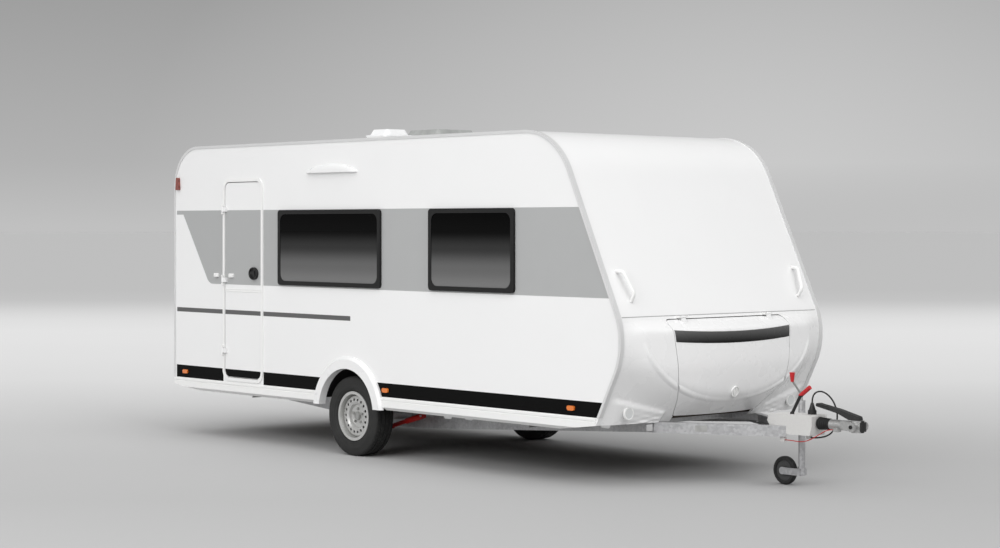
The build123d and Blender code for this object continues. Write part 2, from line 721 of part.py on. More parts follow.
roof = shell_strip & slab_between(ROOF_JOINT_Z, ROOF_Z)
curbs = []
domes = []
for x, y, size, rise in ROOFLIGHTS:
    hole = rooflight_face(x, y, size - 2 * ROOFLIGHT_LAP, ROOFLIGHT_LAP / 2)
    curb = rooflight_face(x, y, size, ROOFLIGHT_LAP)
    eave = rooflight_face(x, y, size + 2 * ROOFLIGHT_EAVE, ROOFLIGHT_LAP + ROOFLIGHT_EAVE)
    crown = rooflight_face(x, y, size - 3 * ROOFLIGHT_EAVE, ROOFLIGHT_LAP + 2 * ROOFLIGHT_EAVE)
    roof -= along_z(hole, ROOF_Z - WALL, ROOF_Z)
    curbs.append(along_z(curb, ROOF_Z, CURB_TOP_Z) - along_z(hole, ROOF_Z, CURB_TOP_Z))
    dome = extrude(Plane.XY.offset(RIM_TOP_Z) * crown, rise - ROOFLIGHT_RIM, taper=DOME_TAPER)
    domes.append(along_z(eave, CURB_TOP_Z, RIM_TOP_Z) + dome)
save("roof", roof)
save("rooflight_curbs", *curbs)
save("rooflight_domes", *domes)

# Floor, with room for the wheel boxes
floor = block(
    -REAR_OVERHANG + WALL, TOE_X - FLOOR_FRONT_GAP, -INNER_HALF, INNER_HALF, BODY_BOTTOM_Z, FLOOR_TOP_Z,
)
box_inner_y = INNER_HALF - WHEEL_BOX_DEPTH
wheel_box = pin_y(0, ARCH_CENTRE_Z, box_inner_y, INNER_HALF, WHEEL_BOX_OUTER)
wheel_box -= pin_y(0, ARCH_CENTRE_Z, box_inner_y + WHEEL_BOX_SHEET, INNER_HALF, WHEEL_BOX_RADIUS)
wheel_box &= slab_between(BODY_BOTTOM_Z, ROOF_Z)
box_room = pin_y(0, ARCH_CENTRE_Z, box_inner_y - SEAT_GAP, INNER_HALF, WHEEL_BOX_OUTER + SEAT_GAP)
save("floor", floor - box_room - across(box_room))
save("wheel_boxes", wheel_box, across(wheel_box))

# Wheel-arch trims
arch_ring = Circle(ARCH_OUTER) - Circle(ARCH_INNER)
arch_trim = on_side("right", Pos(0, ARCH_CENTRE_Z) * arch_ring, 0, ARCH_PROUD)
arch_lining = Circle(ARCH_CUT - SEAT_GAP) - Circle(ARCH_INNER)
outer_rings = arch_trim.edges().filter_by(GeomType.CIRCLE).sort_by(Axis.Y)[:2]
arch_trim = chamfer(outer_rings.sort_by(SortBy.RADIUS)[-1:], ARCH_CHAMFER)
arch_trim += on_side("right", Pos(0, ARCH_CENTRE_Z) * arch_lining, WALL, 0)
arch_trim &= block(-CLEAR_OF_BODY, CLEAR_OF_BODY, -BODY_WIDTH, 0, SKIRT_BOTTOM_Z, ROOF_Z)
save("wheel_arch_trims", arch_trim, across(arch_trim))

# Skirts below the walls
skirt_face = corner_face([
    (HALF_WIDTH, SKIRT_TOP_Z, 0),
    (HALF_WIDTH + SKIRT_PROUD, SKIRT_TOP_Z - SKIRT_PROUD, 0),
    (HALF_WIDTH + SKIRT_PROUD, SKIRT_GROOVE_Z + SKIRT_GROOVE, 0),
    (HALF_WIDTH + SKIRT_GROOVE / 2, SKIRT_GROOVE_Z + SKIRT_GROOVE / 2, 0),
    (HALF_WIDTH + SKIRT_GROOVE / 2, SKIRT_GROOVE_Z - SKIRT_GROOVE / 2, 0),
    (HALF_WIDTH + SKIRT_PROUD, SKIRT_GROOVE_Z - SKIRT_GROOVE, 0),
    (HALF_WIDTH + SKIRT_PROUD, SKIRT_BOTTOM_Z + SKIRT_LIP, 0),
    (HALF_WIDTH - SKIRT_LIP, SKIRT_BOTTOM_Z, 0),
    (HALF_WIDTH - SKIRT_LIP, SKIRT_BOTTOM_Z + SKIRT_SHEET, 0),
    (HALF_WIDTH, SKIRT_BOTTOM_Z + SKIRT_LIP + SKIRT_SHEET, 0),
])
skirt = along_x(skirt_face, -REAR_OVERHANG, TOE_X)
skirt -= pin_y(0, ARCH_CENTRE_Z, 0, BODY_WIDTH, ARCH_OUTER + SEAT_GAP)
for end_x, run in ((-REAR_OVERHANG, SKIRT_REAR_TAPER), (TOE_X, -SKIRT_FRONT_TAPER)):
    wedge = corner_face([
        (end_x, BODY_BOTTOM_Z, 0),
        (end_x + run, SKIRT_BOTTOM_Z, 0),
        (end_x + run, SKIRT_BOTTOM_Z - SKIRT_LIP, 0),
        (end_x, SKIRT_BOTTOM_Z - SKIRT_LIP, 0),
    ])
    skirt -= along_y(wedge, 0, BODY_WIDTH)
save("skirts", skirt, across(skirt))

# Edge rails round the outline of each wall
rail_outer = offset(body_face, RAIL_PROUD).face()
rail_inner = offset(body_face, -RAIL_WIDTH).face()
edge_rail = on_side("right", rail_outer - rail_inner, 0, RAIL_PROUD)
edge_rail += on_side("right", rail_outer - body_face, WALL, 0)
edge_rail &= block(-CLEAR_OF_BODY, CLEAR_OF_BODY, -BODY_WIDTH, 0, SKIRT_TOP_Z, ROOF_Z + WALL)
save("edge_rails", edge_rail, across(edge_rail))


# Front moulding: a double-curved shell with a U-shaped ridge and two lamp pods, split into surround and lid
def smooth(share):
    """An S-shaped rise from 0 to 1."""
    share = min(1, max(0, share))
    return share * share * (3 - 2 * share)


UPPER_LEAN = atan(FRONT_SLOPE)
LOWER_SLOPE = (NOSE_X - TOE_X) / (NOSE_Z - BODY_BOTTOM_Z)
LOWER_LEAN = atan(LOWER_SLOPE)
NOSE_TANGENT = NOSE_RADIUS * tan((UPPER_LEAN + LOWER_LEAN) / 2)
NOSE_ARC_X = NOSE_X - NOSE_TANGENT * sin(UPPER_LEAN) - NOSE_RADIUS * cos(UPPER_LEAN)
NOSE_ARC_Z = NOSE_Z + NOSE_TANGENT * cos(UPPER_LEAN) - NOSE_RADIUS * sin(UPPER_LEAN)


def wall_edge_x(z):
    """How far forward the side wall's front edge lies at a height."""
    if z > NOSE_Z + NOSE_TANGENT * cos(UPPER_LEAN):
        return NOSE_X - FRONT_SLOPE * (z - NOSE_Z)
    if z < NOSE_Z - NOSE_TANGENT * cos(LOWER_LEAN):
        return NOSE_X - LOWER_SLOPE * (NOSE_Z - z)
    return NOSE_ARC_X + sqrt(NOSE_RADIUS ** 2 - (z - NOSE_ARC_Z) ** 2)


def pod_rise(y, z):
    """How far a lamp pod stands out, below its sloping brow and outside its upright edge."""
    out = abs(y)
    brow = POD_BROW_Z + POD_BROW_SLOPE * (out - FRONT_LAMP_Y)
    upright = smooth((out - POD_INNER_Y) / POD_STEP) * smooth((INNER_HALF - out) / POD_MARGIN)
    return POD_LIFT * smooth((brow - z) / POD_STEP) * upright


def moulding_x(y, z):
    """How far forward the moulding lies: wall edge, plus a crown, the pad inside the ridge and the pods."""
    shoulder = smooth((SEAM_Z - z) / SHOULDER_HEIGHT)
    crown = CROWN * (1 - (y / INNER_HALF) ** 2)
    drop = max(0, PAD_TOP_Z - z) / PAD_DEPTH
    reach = hypot(y / PAD_HALF_WIDTH, drop)
    foot = INNER_HALF / PAD_HALF_WIDTH - 1
    if reach > 0:
        foot += PAD_FOOT_BELOW * (drop / reach) ** 2
    edge = smooth((1 + foot - reach) / (PAD_ROUNDING * foot))
    lift = PAD_LIFT * (1 - smooth((z - PAD_LIFT_LOW_Z) / PAD_LIFT_SPAN))
    return wall_edge_x(z) + shoulder * (crown + edge * (PAD_EDGE + lift)) + pod_rise(y, z)


grid = []
for column in range(GRID_ACROSS):
    y = INNER_HALF * (2 * column / (GRID_ACROSS - 1) - 1)
    heights = [BODY_BOTTOM_Z + (SEAM_Z - BODY_BOTTOM_Z) * row / (GRID_UP - 1) for row in range(GRID_UP)]
    grid.append([Vector(moulding_x(y, z), y, z) for z in heights])
moulding_skin = Face.make_surface_from_array_of_points(grid, tol=0.5, min_deg=3, max_deg=3)
moulding = extrude(moulding_skin, MOULDING_WALL, dir=(-1, 0, 0))


def lid_face(gap):
    """The outline of the lid from the front, drawn outwards by a gap."""
    rows = [
        (LID_TOP_HALF + gap, LID_TOP_Z + gap, LID_TOP_RADIUS),
        (LID_WAIST_HALF + gap, LID_WAIST_Z, LID_WAIST_RADIUS),
        (LID_BOTTOM_HALF + gap, LID_BOTTOM_Z - gap, LID_FOOT_RADIUS),
    ]
    return corner_face(rows + [(-y, z, radius) for y, z, radius in reversed(rows)])


nose_room = (TOE_X - NOSE_RADIUS, NOSE_X + NOSE_RADIUS)
lid = moulding & along_x(lid_face(0), *nose_room)
surround = moulding - along_x(lid_face(MOVING_GAP), *nose_room)
surround -= block(*nose_room, -LID_BOTTOM_HALF, LID_BOTTOM_HALF, 0, LID_BOTTOM_Z)

front_lamps = []
lamp_x = moulding_x(FRONT_LAMP_Y, FRONT_LAMP_Z)
for sign in (1, -1):
    spot = Pos(sign * FRONT_LAMP_Y, FRONT_LAMP_Z)
    surround -= along_x(spot * Circle(FRONT_LAMP_RADIUS + SEAT_GAP), *nose_room)
    front_lamps.append(
        along_x(spot * Circle(FRONT_LAMP_RADIUS), lamp_x - MOULDING_WALL, lamp_x + FRONT_LAMP_PROUD)
    )

LID_HINGE_X = moulding_x(LID_HINGE_Y, LID_TOP_Z) + LID_HINGE_PROUD
LID_HINGE_Z = LID_TOP_Z + LID_HINGE_RISE
print("lid hinge", round(LID_HINGE_X, 2), round(LID_HINGE_Z, 2))
tab_face = corner_face([
    (LID_HINGE_X - KNUCKLE_RADIUS / 2, LID_HINGE_Z, 0),
    (LID_HINGE_X + KNUCKLE_RADIUS / 2, LID_HINGE_Z, 0),
    (LID_HINGE_X + LID_TAB_THICKNESS, LID_TOP_Z - LID_TAB, 0),
    (LID_HINGE_X, LID_TOP_Z - LID_TAB, 0),
])
for sign in (1, -1):
    y = sign * LID_HINGE_Y
    low, high = y - KNUCKLE_HALF, y + KNUCKLE_HALF
    lid += pin_y(LID_HINGE_X, LID_HINGE_Z, low, high, KNUCKLE_RADIUS) + along_y(tab_face, low, high)
    lid -= pin_y(LID_HINGE_X, LID_HINGE_Z, low, high, HINGE_PIN_RADIUS + PIN_GAP)
    pin = pin_y(LID_HINGE_X, LID_HINGE_Z, low - HINGE_EAR, high + HINGE_EAR, HINGE_PIN_RADIUS)
    for ear_y in (low - HINGE_EAR, high + MOVING_GAP):
        pin += block(
            LID_HINGE_X - LID_EAR_BACK, LID_HINGE_X + HINGE_EAR_IN,
            ear_y, ear_y + HINGE_EAR - MOVING_GAP, LID_HINGE_Z - HINGE_EAR_IN, SEAM_Z,
        )
    hinge_pins.append(pin - moulding)
save("front_moulding", surround)
save("locker_lid", lid)
save("hinges", *hinge_pins)

shelf_z = SEAM_Z - SHELF_DROP
shelf_front = wall_edge_x(SEAM_Z) - MOULDING_WALL - SHELF_GAP
bulkhead = block(
    BULKHEAD_X, BULKHEAD_X + BULKHEAD_THICKNESS, -INNER_HALF, INNER_HALF, FLOOR_TOP_Z, shelf_z,
)
bulkhead += block(BULKHEAD_X, shelf_front, -INNER_HALF, INNER_HALF, shelf_z, shelf_z + BULKHEAD_THICKNESS)
save("locker_bulkhead", bulkhead)

# Lamps on the sides, at the rear corners and over the windows
marker_places = (
    -REAR_OVERHANG + MARKER_REAR_IN,
    ARCH_OUTER + MARKER_ARCH_OUT,
    TOE_X - MARKER_FRONT_IN,
)
markers = []
for x in marker_places:
    shape = Pos(x, MARKER_Z) * RectangleRounded(MARKER_LENGTH, MARKER_HEIGHT, MARKER_ROUNDING)
    marker = on_side("right", shape, 0, MARKER_PROUD)
    markers += [marker, across(marker)]
corner_rear_x = -REAR_OVERHANG + CORNER_MARKER_IN
corner_front_x = corner_rear_x + CORNER_MARKER_WIDTH
corner_low_z = ROOF_JOINT_Z - CORNER_MARKER_DROP
corner_high_z = corner_low_z + CORNER_MARKER_HEIGHT
corner_marker_face = corner_face([
    (corner_rear_x, corner_low_z, CORNER_MARKER_ROUNDING),
    (corner_front_x, corner_low_z, CORNER_MARKER_ROUNDING),
    (corner_front_x - CORNER_MARKER_TAPER, corner_high_z, CORNER_MARKER_ROUNDING),
    (corner_rear_x + CORNER_MARKER_TAPER, corner_high_z, CORNER_MARKER_ROUNDING),
])
corner_marker = on_side("right", corner_marker_face, 0, CORNER_MARKER_PROUD)
markers += [corner_marker, across(corner_marker)]
save("marker_lamps", *markers, *front_lamps)

lamp_half = AWNING_LAMP_LENGTH / 2
lamp_top_z = AWNING_LAMP_Z + AWNING_LAMP_HEIGHT
lamp_face = corner_face([
    (AWNING_LAMP_X - lamp_half, AWNING_LAMP_Z, 0),
    (AWNING_LAMP_X - lamp_half / 2, lamp_top_z, AWNING_LAMP_ROUNDING),
    (AWNING_LAMP_X + lamp_half / 2, lamp_top_z, AWNING_LAMP_ROUNDING),
    (AWNING_LAMP_X + lamp_half, AWNING_LAMP_Z, 0),
])
save("awning_lamp", on_side("right", lamp_face, 0, AWNING_LAMP_PROUD))

# Rear bumper and its lamps
bumper_back = -REAR_OVERHANG - BUMPER_DEPTH
bumper_face = corner_face([
    (-REAR_OVERHANG, BODY_BOTTOM_Z, 0),
    (-REAR_OVERHANG, BUMPER_TOP_Z, 0),
    (bumper_back, BUMPER_TOP_Z - BUMPER_SHOULDER, BUMPER_ROUNDING),
    (bumper_back, BODY_BOTTOM_Z, BUMPER_ROUNDING),
])
save("rear_bumper", along_y(bumper_face, -INNER_HALF, INNER_HALF))
lens_outer_y = INNER_HALF - LENS_IN
lens_low_z = BODY_BOTTOM_Z + LENS_RISE
lens_face = panel(
    lens_outer_y - LENS_WIDTH, lens_outer_y, lens_low_z, lens_low_z + LENS_HEIGHT, LENS_ROUNDING,
)
lens = along_x(lens_face, bumper_back - LENS_DEPTH, bumper_back)
save("rear_lamps", lens, across(lens))

# Grab handles on the front panel
LEAN = Vector(cos(UPPER_LEAN), 0, sin(UPPER_LEAN))
HANDLE_TOP_Z = SEAM_Z + HANDLE_RISE + HANDLE_HEIGHT


def handle_point(drop, out):
    """A point of the grab handle, down from its top and out from the front panel's skin."""
    z = HANDLE_TOP_Z - drop
    y = HALF_WIDTH - HANDLE_IN - HANDLE_LEAN * drop / HANDLE_HEIGHT
    return Vector(NOSE_X - FRONT_SLOPE * (z - NOSE_Z), y, z) + LEAN * out


handle_path = FilletPolyline(
    handle_point(0, 0),
    handle_point(HANDLE_FOOT, HANDLE_OUT),
    handle_point(HANDLE_HEIGHT - HANDLE_FOOT, HANDLE_OUT),
    handle_point(HANDLE_HEIGHT, 0),
    radius=HANDLE_BEND,
)
handle = sweep(Plane(handle_path @ 0, z_dir=handle_path % 0) * Circle(HANDLE_RADIUS), path=handle_path)
handle -= along_y(body_face, -HALF_WIDTH, HALF_WIDTH)
save("grab_handles", handle, across(handle))

# Fridge vents between the windows, and the mains inlet, on the left wall
vent_rear_x = KITCHEN_FRONT_X + VENT_MARGIN
vent_front_x = LOUNGE_REAR_X - VENT_MARGIN
inlet_x = -REAR_OVERHANG + INLET_IN
HATCHES = [
    # rear end, front end, height above the body's underside, height of the hatch
    (vent_rear_x, vent_front_x, VENT_LOW_RISE, VENT_HEIGHT),
    (vent_rear_x, vent_front_x, VENT_HIGH_RISE, VENT_HEIGHT),
    (inlet_x, inlet_x + INLET_WIDTH, INLET_RISE, INLET_HEIGHT),
]
hatches = []
for rear_x, front_x, rise, height in HATCHES:
    low = BODY_BOTTOM_Z + rise
    hatch_face = panel(rear_x, front_x, low, low + height, HATCH_ROUNDING)
    hatches.append(on_side("left", hatch_face, 0, HATCH_PROUD))
save("service_hatches", *hatches)

# Axle with its swing arms
arm_length = hypot(ARM_REACH, ARM_RISE)
arm_angle = degrees(atan(ARM_RISE / ARM_REACH))
arm_face = Rot(0, 0, arm_angle) * SlotCenterToCenter(arm_length, ARM_HEIGHT)
arm_face = Pos(ARM_REACH / 2, TYRE_RADIUS + ARM_RISE / 2) * arm_face
shock_pin_end = max(SHOCK_HALF, SHOCK_RADIUS) + SHOCK_PIN_SPARE
arm = along_y(arm_face, ARM_Y, ARM_Y + ARM_THICKNESS)
arm += pin_y(0, TYRE_RADIUS, ARM_Y, HUB_SEAT - STUB_END, STUB_RADIUS)
arm += pin_y(*SHOCK_LOW, SHOCK_Y - shock_pin_end, ARM_Y, SHOCK_PIN_RADIUS)
arm += block(
    SHOCK_LOW_X - SHOCK_EAR_HALF, SHOCK_LOW_X + SHOCK_EAR_HALF,
    ARM_Y - SHOCK_EAR_THICKNESS, ARM_Y, SHOCK_LOW[1] - SHOCK_EAR_HALF, TYRE_RADIUS,
)
axle = pin_y(ARM_REACH, AXLE_TUBE_Z, -ARM_Y, ARM_Y, AXLE_TUBE_RADIUS)
save("axle", axle + arm + across(arm))

shock_low = Vector(SHOCK_LOW[0], SHOCK_Y, SHOCK_LOW[1])
shock_high = Vector(SHOCK_HIGH[0], SHOCK_Y, SHOCK_HIGH[1])
shock_middle = (shock_low + shock_high) * 0.5
shock = rod(shock_low, shock_middle, SHOCK_RADIUS - SHOCK_STEP)
shock += rod(shock_middle, shock_high, SHOCK_RADIUS)
for x, z in (SHOCK_LOW, SHOCK_HIGH):
    shock += pin_y(x, z, SHOCK_Y - SHOCK_HALF, SHOCK_Y + SHOCK_HALF, SHOCK_EYE)
for x, z in (SHOCK_LOW, SHOCK_HIGH):
    shock -= pin_y(x, z, SHOCK_Y - shock_pin_end, SHOCK_Y + shock_pin_end, SHOCK_PIN_RADIUS + SEAT_GAP)
save("shock_absorbers", shock, across(shock))


# Road wheels
def turned(rows):
    """A ring turned about the wheel's axis, from rows of (radius, outward, corner radius)."""
    face = Plane.YZ * corner_face([(out, radius, corner) for radius, out, corner in rows])
    return revolve(face, Axis.Y)


def even_ring(rows, half):
    """A ring with two like sides, from rows of (radius, in from the side, corner radius)."""
    inner = [(radius, depth - half, corner) for radius, depth, corner in rows]
    outer = [(radius, half - depth, corner) for radius, depth, corner in reversed(rows)]
    return turned(inner + outer)


rim_half = RIM_WIDTH / 2
flange_radius = RIM_RADIUS + RIM_FLANGE
rim = even_ring([
    (RIM_RADIUS, RIM_SHEET, 0),
    (flange_radius, RIM_SHEET, 0),
    (flange_radius, 0, 0),
    (RIM_RADIUS - RIM_SHEET, 0, 0),
], rim_half + RIM_SHEET)
DISC_ROWS = [
    # in from the rim's radius, outward place of the outer skin
    (RIM_SHEET, HUB_FACE - 2),
    (RIM_DISH / 3, HUB_FACE + RIM_BULGE - RIM_SHEET),
    (RIM_DISH, HUB_FACE + RIM_BULGE),
    (RIM_DISH + 16, HUB_FACE + RIM_BULGE - 8),
    (RIM_DISH + 24, HUB_FACE),
    (RIM_RADIUS, HUB_FACE),
]
disc_outer = [(RIM_RADIUS - inset, out, 0) for inset, out in DISC_ROWS]
disc_inner = [(RIM_RADIUS - inset, out - RIM_SHEET, 0) for inset, out in reversed(DISC_ROWS)]
disc = turned(disc_outer + disc_inner)
for spot in PolarLocations(RIM_RADIUS - RIM_HOLE_INSET, RIM_HOLES):
    disc -= Rot(90, 0, 0) * (spot * Cylinder(RIM_HOLE_RADIUS, TYRE_WIDTH))
tyre_half = TYRE_WIDTH / 2
bead_depth = tyre_half - rim_half + SEAT_GAP
wall_radius = flange_radius + TYRE_RIM_STEP
wall_height = TYRE_RADIUS - wall_radius
tyre = even_ring([
    (RIM_RADIUS + SEAT_GAP, bead_depth, 0),
    (flange_radius + RIM_SHEET, bead_depth, 0),
    (wall_radius, TYRE_SHOULDER / 3, 0),
    (wall_radius + wall_height / 3, 0, 0),
    (wall_radius + wall_height * 3 / 4, TYRE_SHOULDER / 4, 0),
    (TYRE_RADIUS, TYRE_SHOULDER, TYRE_ROUNDING),
], tyre_half)
drum = pin_y(0, 0, DRUM_BACK - WHEEL_Y, DRUM_BACK + DRUM_DEPTH - WHEEL_Y, DRUM_RADIUS)
drum += pin_y(0, 0, DRUM_BACK - WHEEL_Y, HUB_SEAT - WHEEL_Y, HUB_RADIUS)
drum -= pin_y(0, 0, DRUM_BACK - WHEEL_Y, HUB_SEAT - HUB_END - WHEEL_Y, STUB_RADIUS + PIN_GAP)
for name, piece in (("rim", rim + disc), ("tyre", tyre), ("drum", drum)):
    placed = Pos(0, WHEEL_Y, TYRE_RADIUS) * piece
    save(f"{name}_left", placed)
    save(f"{name}_right", across(placed))

# Chassis rails: deep at the axle, tapering to both ends, with slots along the web
RAIL_LOW = [
    # x, height of the lower edge
    (RAIL_REAR_X, RAIL_TAIL_Z),
    (RAIL_LEVEL_X, RAIL_TAIL_Z),
    (RAIL_DEEP_REAR_X, RAIL_DEEP_Z),
    (RAIL_DEEP_FRONT_X, RAIL_DEEP_Z),
    (RAIL_FRONT_X, RAIL_END_Z),
]


def rail_edge_z(x):
    """Height of a chassis rail's lower edge."""
    for (x0, z0), (x1, z1) in zip(RAIL_LOW, RAIL_LOW[1:]):
        if x0 <= x <= x1:
            return z0 + (z1 - z0) * (x - x0) / (x1 - x0)
    return RAIL_END_Z


lower_edge = [(x, z, 0) for x, z in RAIL_LOW]
foot_edge = [(x, z + RAIL_SHEET, 0) for x, z in reversed(RAIL_LOW)]
upper_edge = [(RAIL_FRONT_X, BODY_BOTTOM_Z, 0), (RAIL_REAR_X, BODY_BOTTOM_Z, 0)]
flange_y = RAIL_Y - RAIL_FLANGE
rail = along_y(corner_face(lower_edge + upper_edge), RAIL_Y, RAIL_Y + RAIL_SHEET)
rail += along_y(corner_face(lower_edge + foot_edge), flange_y, RAIL_Y)
rail += block(RAIL_REAR_X, RAIL_FRONT_X, flange_y, RAIL_Y, BODY_BOTTOM_Z - RAIL_SHEET, BODY_BOTTOM_Z)
slot_face = SlotOverall(SLOT_LENGTH, SLOT_WIDTH)
for start_x, end_x in ((RAIL_LEVEL_X, RAIL_DEEP_REAR_X), (RAIL_DEEP_FRONT_X, RAIL_FRONT_X)):
    slot_count = 1 + int((end_x - start_x - 2 * SLOT_MARGIN) / SLOT_PITCH)
    for number in range(slot_count):
        x = start_x + SLOT_MARGIN + number * SLOT_PITCH
        middle = (rail_edge_z(x) + BODY_BOTTOM_Z) / 2
        rail -= along_y(Pos(x, middle) * slot_face, RAIL_Y - SEAT_GAP, RAIL_Y + RAIL_SHEET)
rail -= pin_y(ARM_REACH, AXLE_TUBE_Z, 0, HALF_WIDTH, AXLE_TUBE_RADIUS + SEAT_GAP)
rail += pin_y(*SHOCK_HIGH, RAIL_Y + RAIL_SHEET, SHOCK_Y + shock_pin_end, SHOCK_PIN_RADIUS)
save("chassis_rails", rail, across(rail))

cross_members = []
cross_top = BODY_BOTTOM_Z - RAIL_SHEET - SEAT_GAP
for share in CROSS_MEMBER_SHARES:
    x = RAIL_REAR_X + share * RAIL_LENGTH
    cross_members.append(block(
        x, x + CROSS_MEMBER_WIDTH, -RAIL_Y, RAIL_Y, cross_top - CROSS_MEMBER_HEIGHT, cross_top,
    ))
save("cross_members", *cross_members)


# A-frame beams, from the rails to the overrun housing
def beam_strip(inset0, inset1, z0, z1):
    """A strip along the beam's line, between two insets from its outer face."""
    lean = hypot(1, BEAM_SLOPE)
    beam_rear_x = RAIL_FRONT_X - BEAM_LAP
    rows = []
    for inset, ends in ((inset0, (beam_rear_x, BEAM_APEX_X)), (inset1, (BEAM_APEX_X, beam_rear_x))):
        for x in ends:
            rows.append((x, (BEAM_APEX_X - x) * BEAM_SLOPE - inset * lean, 0))
    return along_z(corner_face(rows), z0, z1)


beam = beam_strip(0, BEAM_SHEET, BEAM_BOTTOM_Z, BODY_BOTTOM_Z)
beam += beam_strip(BEAM_SHEET, BEAM_FLANGE, BEAM_BOTTOM_Z, BEAM_BOTTOM_Z + BEAM_SHEET)
beam += beam_strip(BEAM_SHEET, BEAM_FLANGE, BODY_BOTTOM_Z - BEAM_SHEET, BODY_BOTTOM_Z)
beam &= block(0, CLEAR_OF_BODY, HOUSING_HALF, flange_y - SEAT_GAP, 0, ROOF_Z)
save("a_frame_beams", beam, across(beam))

# Overrun housing, with the clamp that holds the jockey tube and two lugs for the cords
HOUSING_ROWS = [
    # from the rear end, above the underside, corner radius
    (HOUSING_LEAN * 2, 0, 20),
    (HOUSING_LENGTH - HOUSING_CHIN, 0, 10),
    (HOUSING_LENGTH, HOUSING_DEPTH / 2, 10),
    (HOUSING_LENGTH, HOUSING_DEPTH, 14),
    (HOUSING_CHIN, HOUSING_DEPTH - HOUSING_CHIN / 2, 20),
    (0, SHAFT_Z - HOUSING_BOTTOM_Z, 10),
    (HOUSING_LEAN, HOUSING_CHIN * 2, 10),
]
housing_face = corner_face([
    (HOUSING_REAR_X + ahead, HOUSING_BOTTOM_Z + rise, radius) for ahead, rise, radius in HOUSING_ROWS
])
housing = along_y(housing_face, -HOUSING_HALF, HOUSING_HALF)
bore_radius = JOCKEY_TUBE_RADIUS + SEAT_GAP
housing += pin_z(JOCKEY_X, JOCKEY_Y, CLAMP_BOTTOM_Z, CLAMP_TOP_Z, bore_radius + CLAMP_SHEET)
housing += block(
    JOCKEY_X - CLAMP_ARM_HALF, JOCKEY_X + CLAMP_ARM_HALF,
    HOUSING_HALF - CLAMP_SHEET, JOCKEY_Y - JOCKEY_TUBE_RADIUS,
    CLAMP_BOTTOM_Z + SLEEVE_SHEET, CLAMP_TOP_Z - SLEEVE_SHEET,
)
housing -= pin_z(JOCKEY_X, JOCKEY_Y, CLAMP_BOTTOM_Z, CLAMP_TOP_Z, bore_radius)
for x, y, z in ((GLAND_X, GLAND_Y, GLAND_Z), (RELAY_X, RELAY_Y, RELAY_Z)):
    lug_top_z = HOUSING_BOTTOM_Z + LUG_HALF
    housing += block(x - LUG_LENGTH, x, y - LUG_HALF, y + LUG_HALF, z - LUG_HALF, lug_top_z)
socket_rear_x = HOUSING_FRONT_X - SHAFT_SOCKET
housing -= rod((socket_rear_x, 0, SHAFT_Z), (HOUSING_FRONT_X, 0, SHAFT_Z), SHAFT_RADIUS + SEAT_GAP)
save("overrun_housing", housing)

# Bellows round the drawbar shaft
fold = BELLOWS_LENGTH / BELLOWS_FOLDS
fold_rows = [(0, SHAFT_RADIUS + SEAT_GAP, 0)]
for number in range(BELLOWS_FOLDS):
    size = BELLOWS_RADIUS - BELLOWS_TAPER * number / BELLOWS_FOLDS
    fold_rows.append((number * fold, size - FOLD_DEPTH, 0))
    fold_rows.append(((number + 0.5) * fold, size, 0))
fold_rows.append((BELLOWS_LENGTH, BELLOWS_RADIUS - BELLOWS_TAPER - FOLD_DEPTH, 0))
fold_rows.append((BELLOWS_LENGTH, SHAFT_RADIUS + SEAT_GAP, 0))
bellows = revolve(Plane.XZ * corner_face(fold_rows), Axis.X)
save("bellows", Pos(HOUSING_FRONT_X, 0, SHAFT_Z) * bellows)

# Coupling head on its shaft, with a socket open below for the towing ball
sleeve_x = HOUSING_FRONT_X + BELLOWS_LENGTH + SEAT_GAP
shaft_rear_x = socket_rear_x + MOVING_GAP
head = rod((shaft_rear_x, 0, SHAFT_Z), (BALL_X - HEAD_RADIUS, 0, SHAFT_Z), SHAFT_RADIUS)
head += rod((sleeve_x, 0, SHAFT_Z), (BALL_X - HEAD_REACH, 0, SHAFT_Z), SHAFT_RADIUS + SLEEVE_SHEET)
head_plan = corner_face([
    (BALL_X - HEAD_BACK, -HEAD_BACK_HALF, HEAD_STEP),
    (BALL_X + HEAD_REACH, -HEAD_NOSE_HALF, HEAD_NOSE_ROUNDING),
    (BALL_X + HEAD_REACH, HEAD_NOSE_HALF, HEAD_NOSE_ROUNDING),
    (BALL_X - HEAD_BACK, HEAD_BACK_HALF, HEAD_STEP),
])
head += along_z(head_plan, HEAD_BOTTOM_Z + HEAD_STEP, LEVER_Z - HEAD_STEP)
head += pin_z(BALL_X, 0, HEAD_BOTTOM_Z, LEVER_Z, HEAD_RADIUS)
head += pin_y(BALL_X, SHAFT_Z, -DISC_HALF, DISC_HALF, DISC_RADIUS)
head += block(
    CABLE_LUG_X, CABLE_LUG_X + CABLE_LUG, CABLE_LUG_Y - LUG_HALF, -SHAFT_RADIUS,
    CABLE_LUG_Z - LUG_HALF, CABLE_LUG_Z + LUG_HALF,
)
head -= pin_z(BALL_X, 0, HEAD_BOTTOM_Z, SHAFT_Z, BALL_RADIUS)
head -= Pos(BALL_X, 0, SHAFT_Z) * Sphere(BALL_RADIUS)
save("coupling_head", head)

LEVER_ROWS = [
    # forward of the ball, above the head, corner radius
    (26, 0, 6),
    (20, 26, 14),
    (-150, 66, 60),
    (-340, 98, 8),
    (-346, 76, 8),
    (-156, 38, 60),
    (-60, 0, 20),
]
lever_face = corner_face([(BALL_X + ahead, LEVER_Z + rise, radius) for ahead, rise, radius in LEVER_ROWS])
save("coupling_lever", along_y(lever_face, -LEVER_HALF, LEVER_HALF))

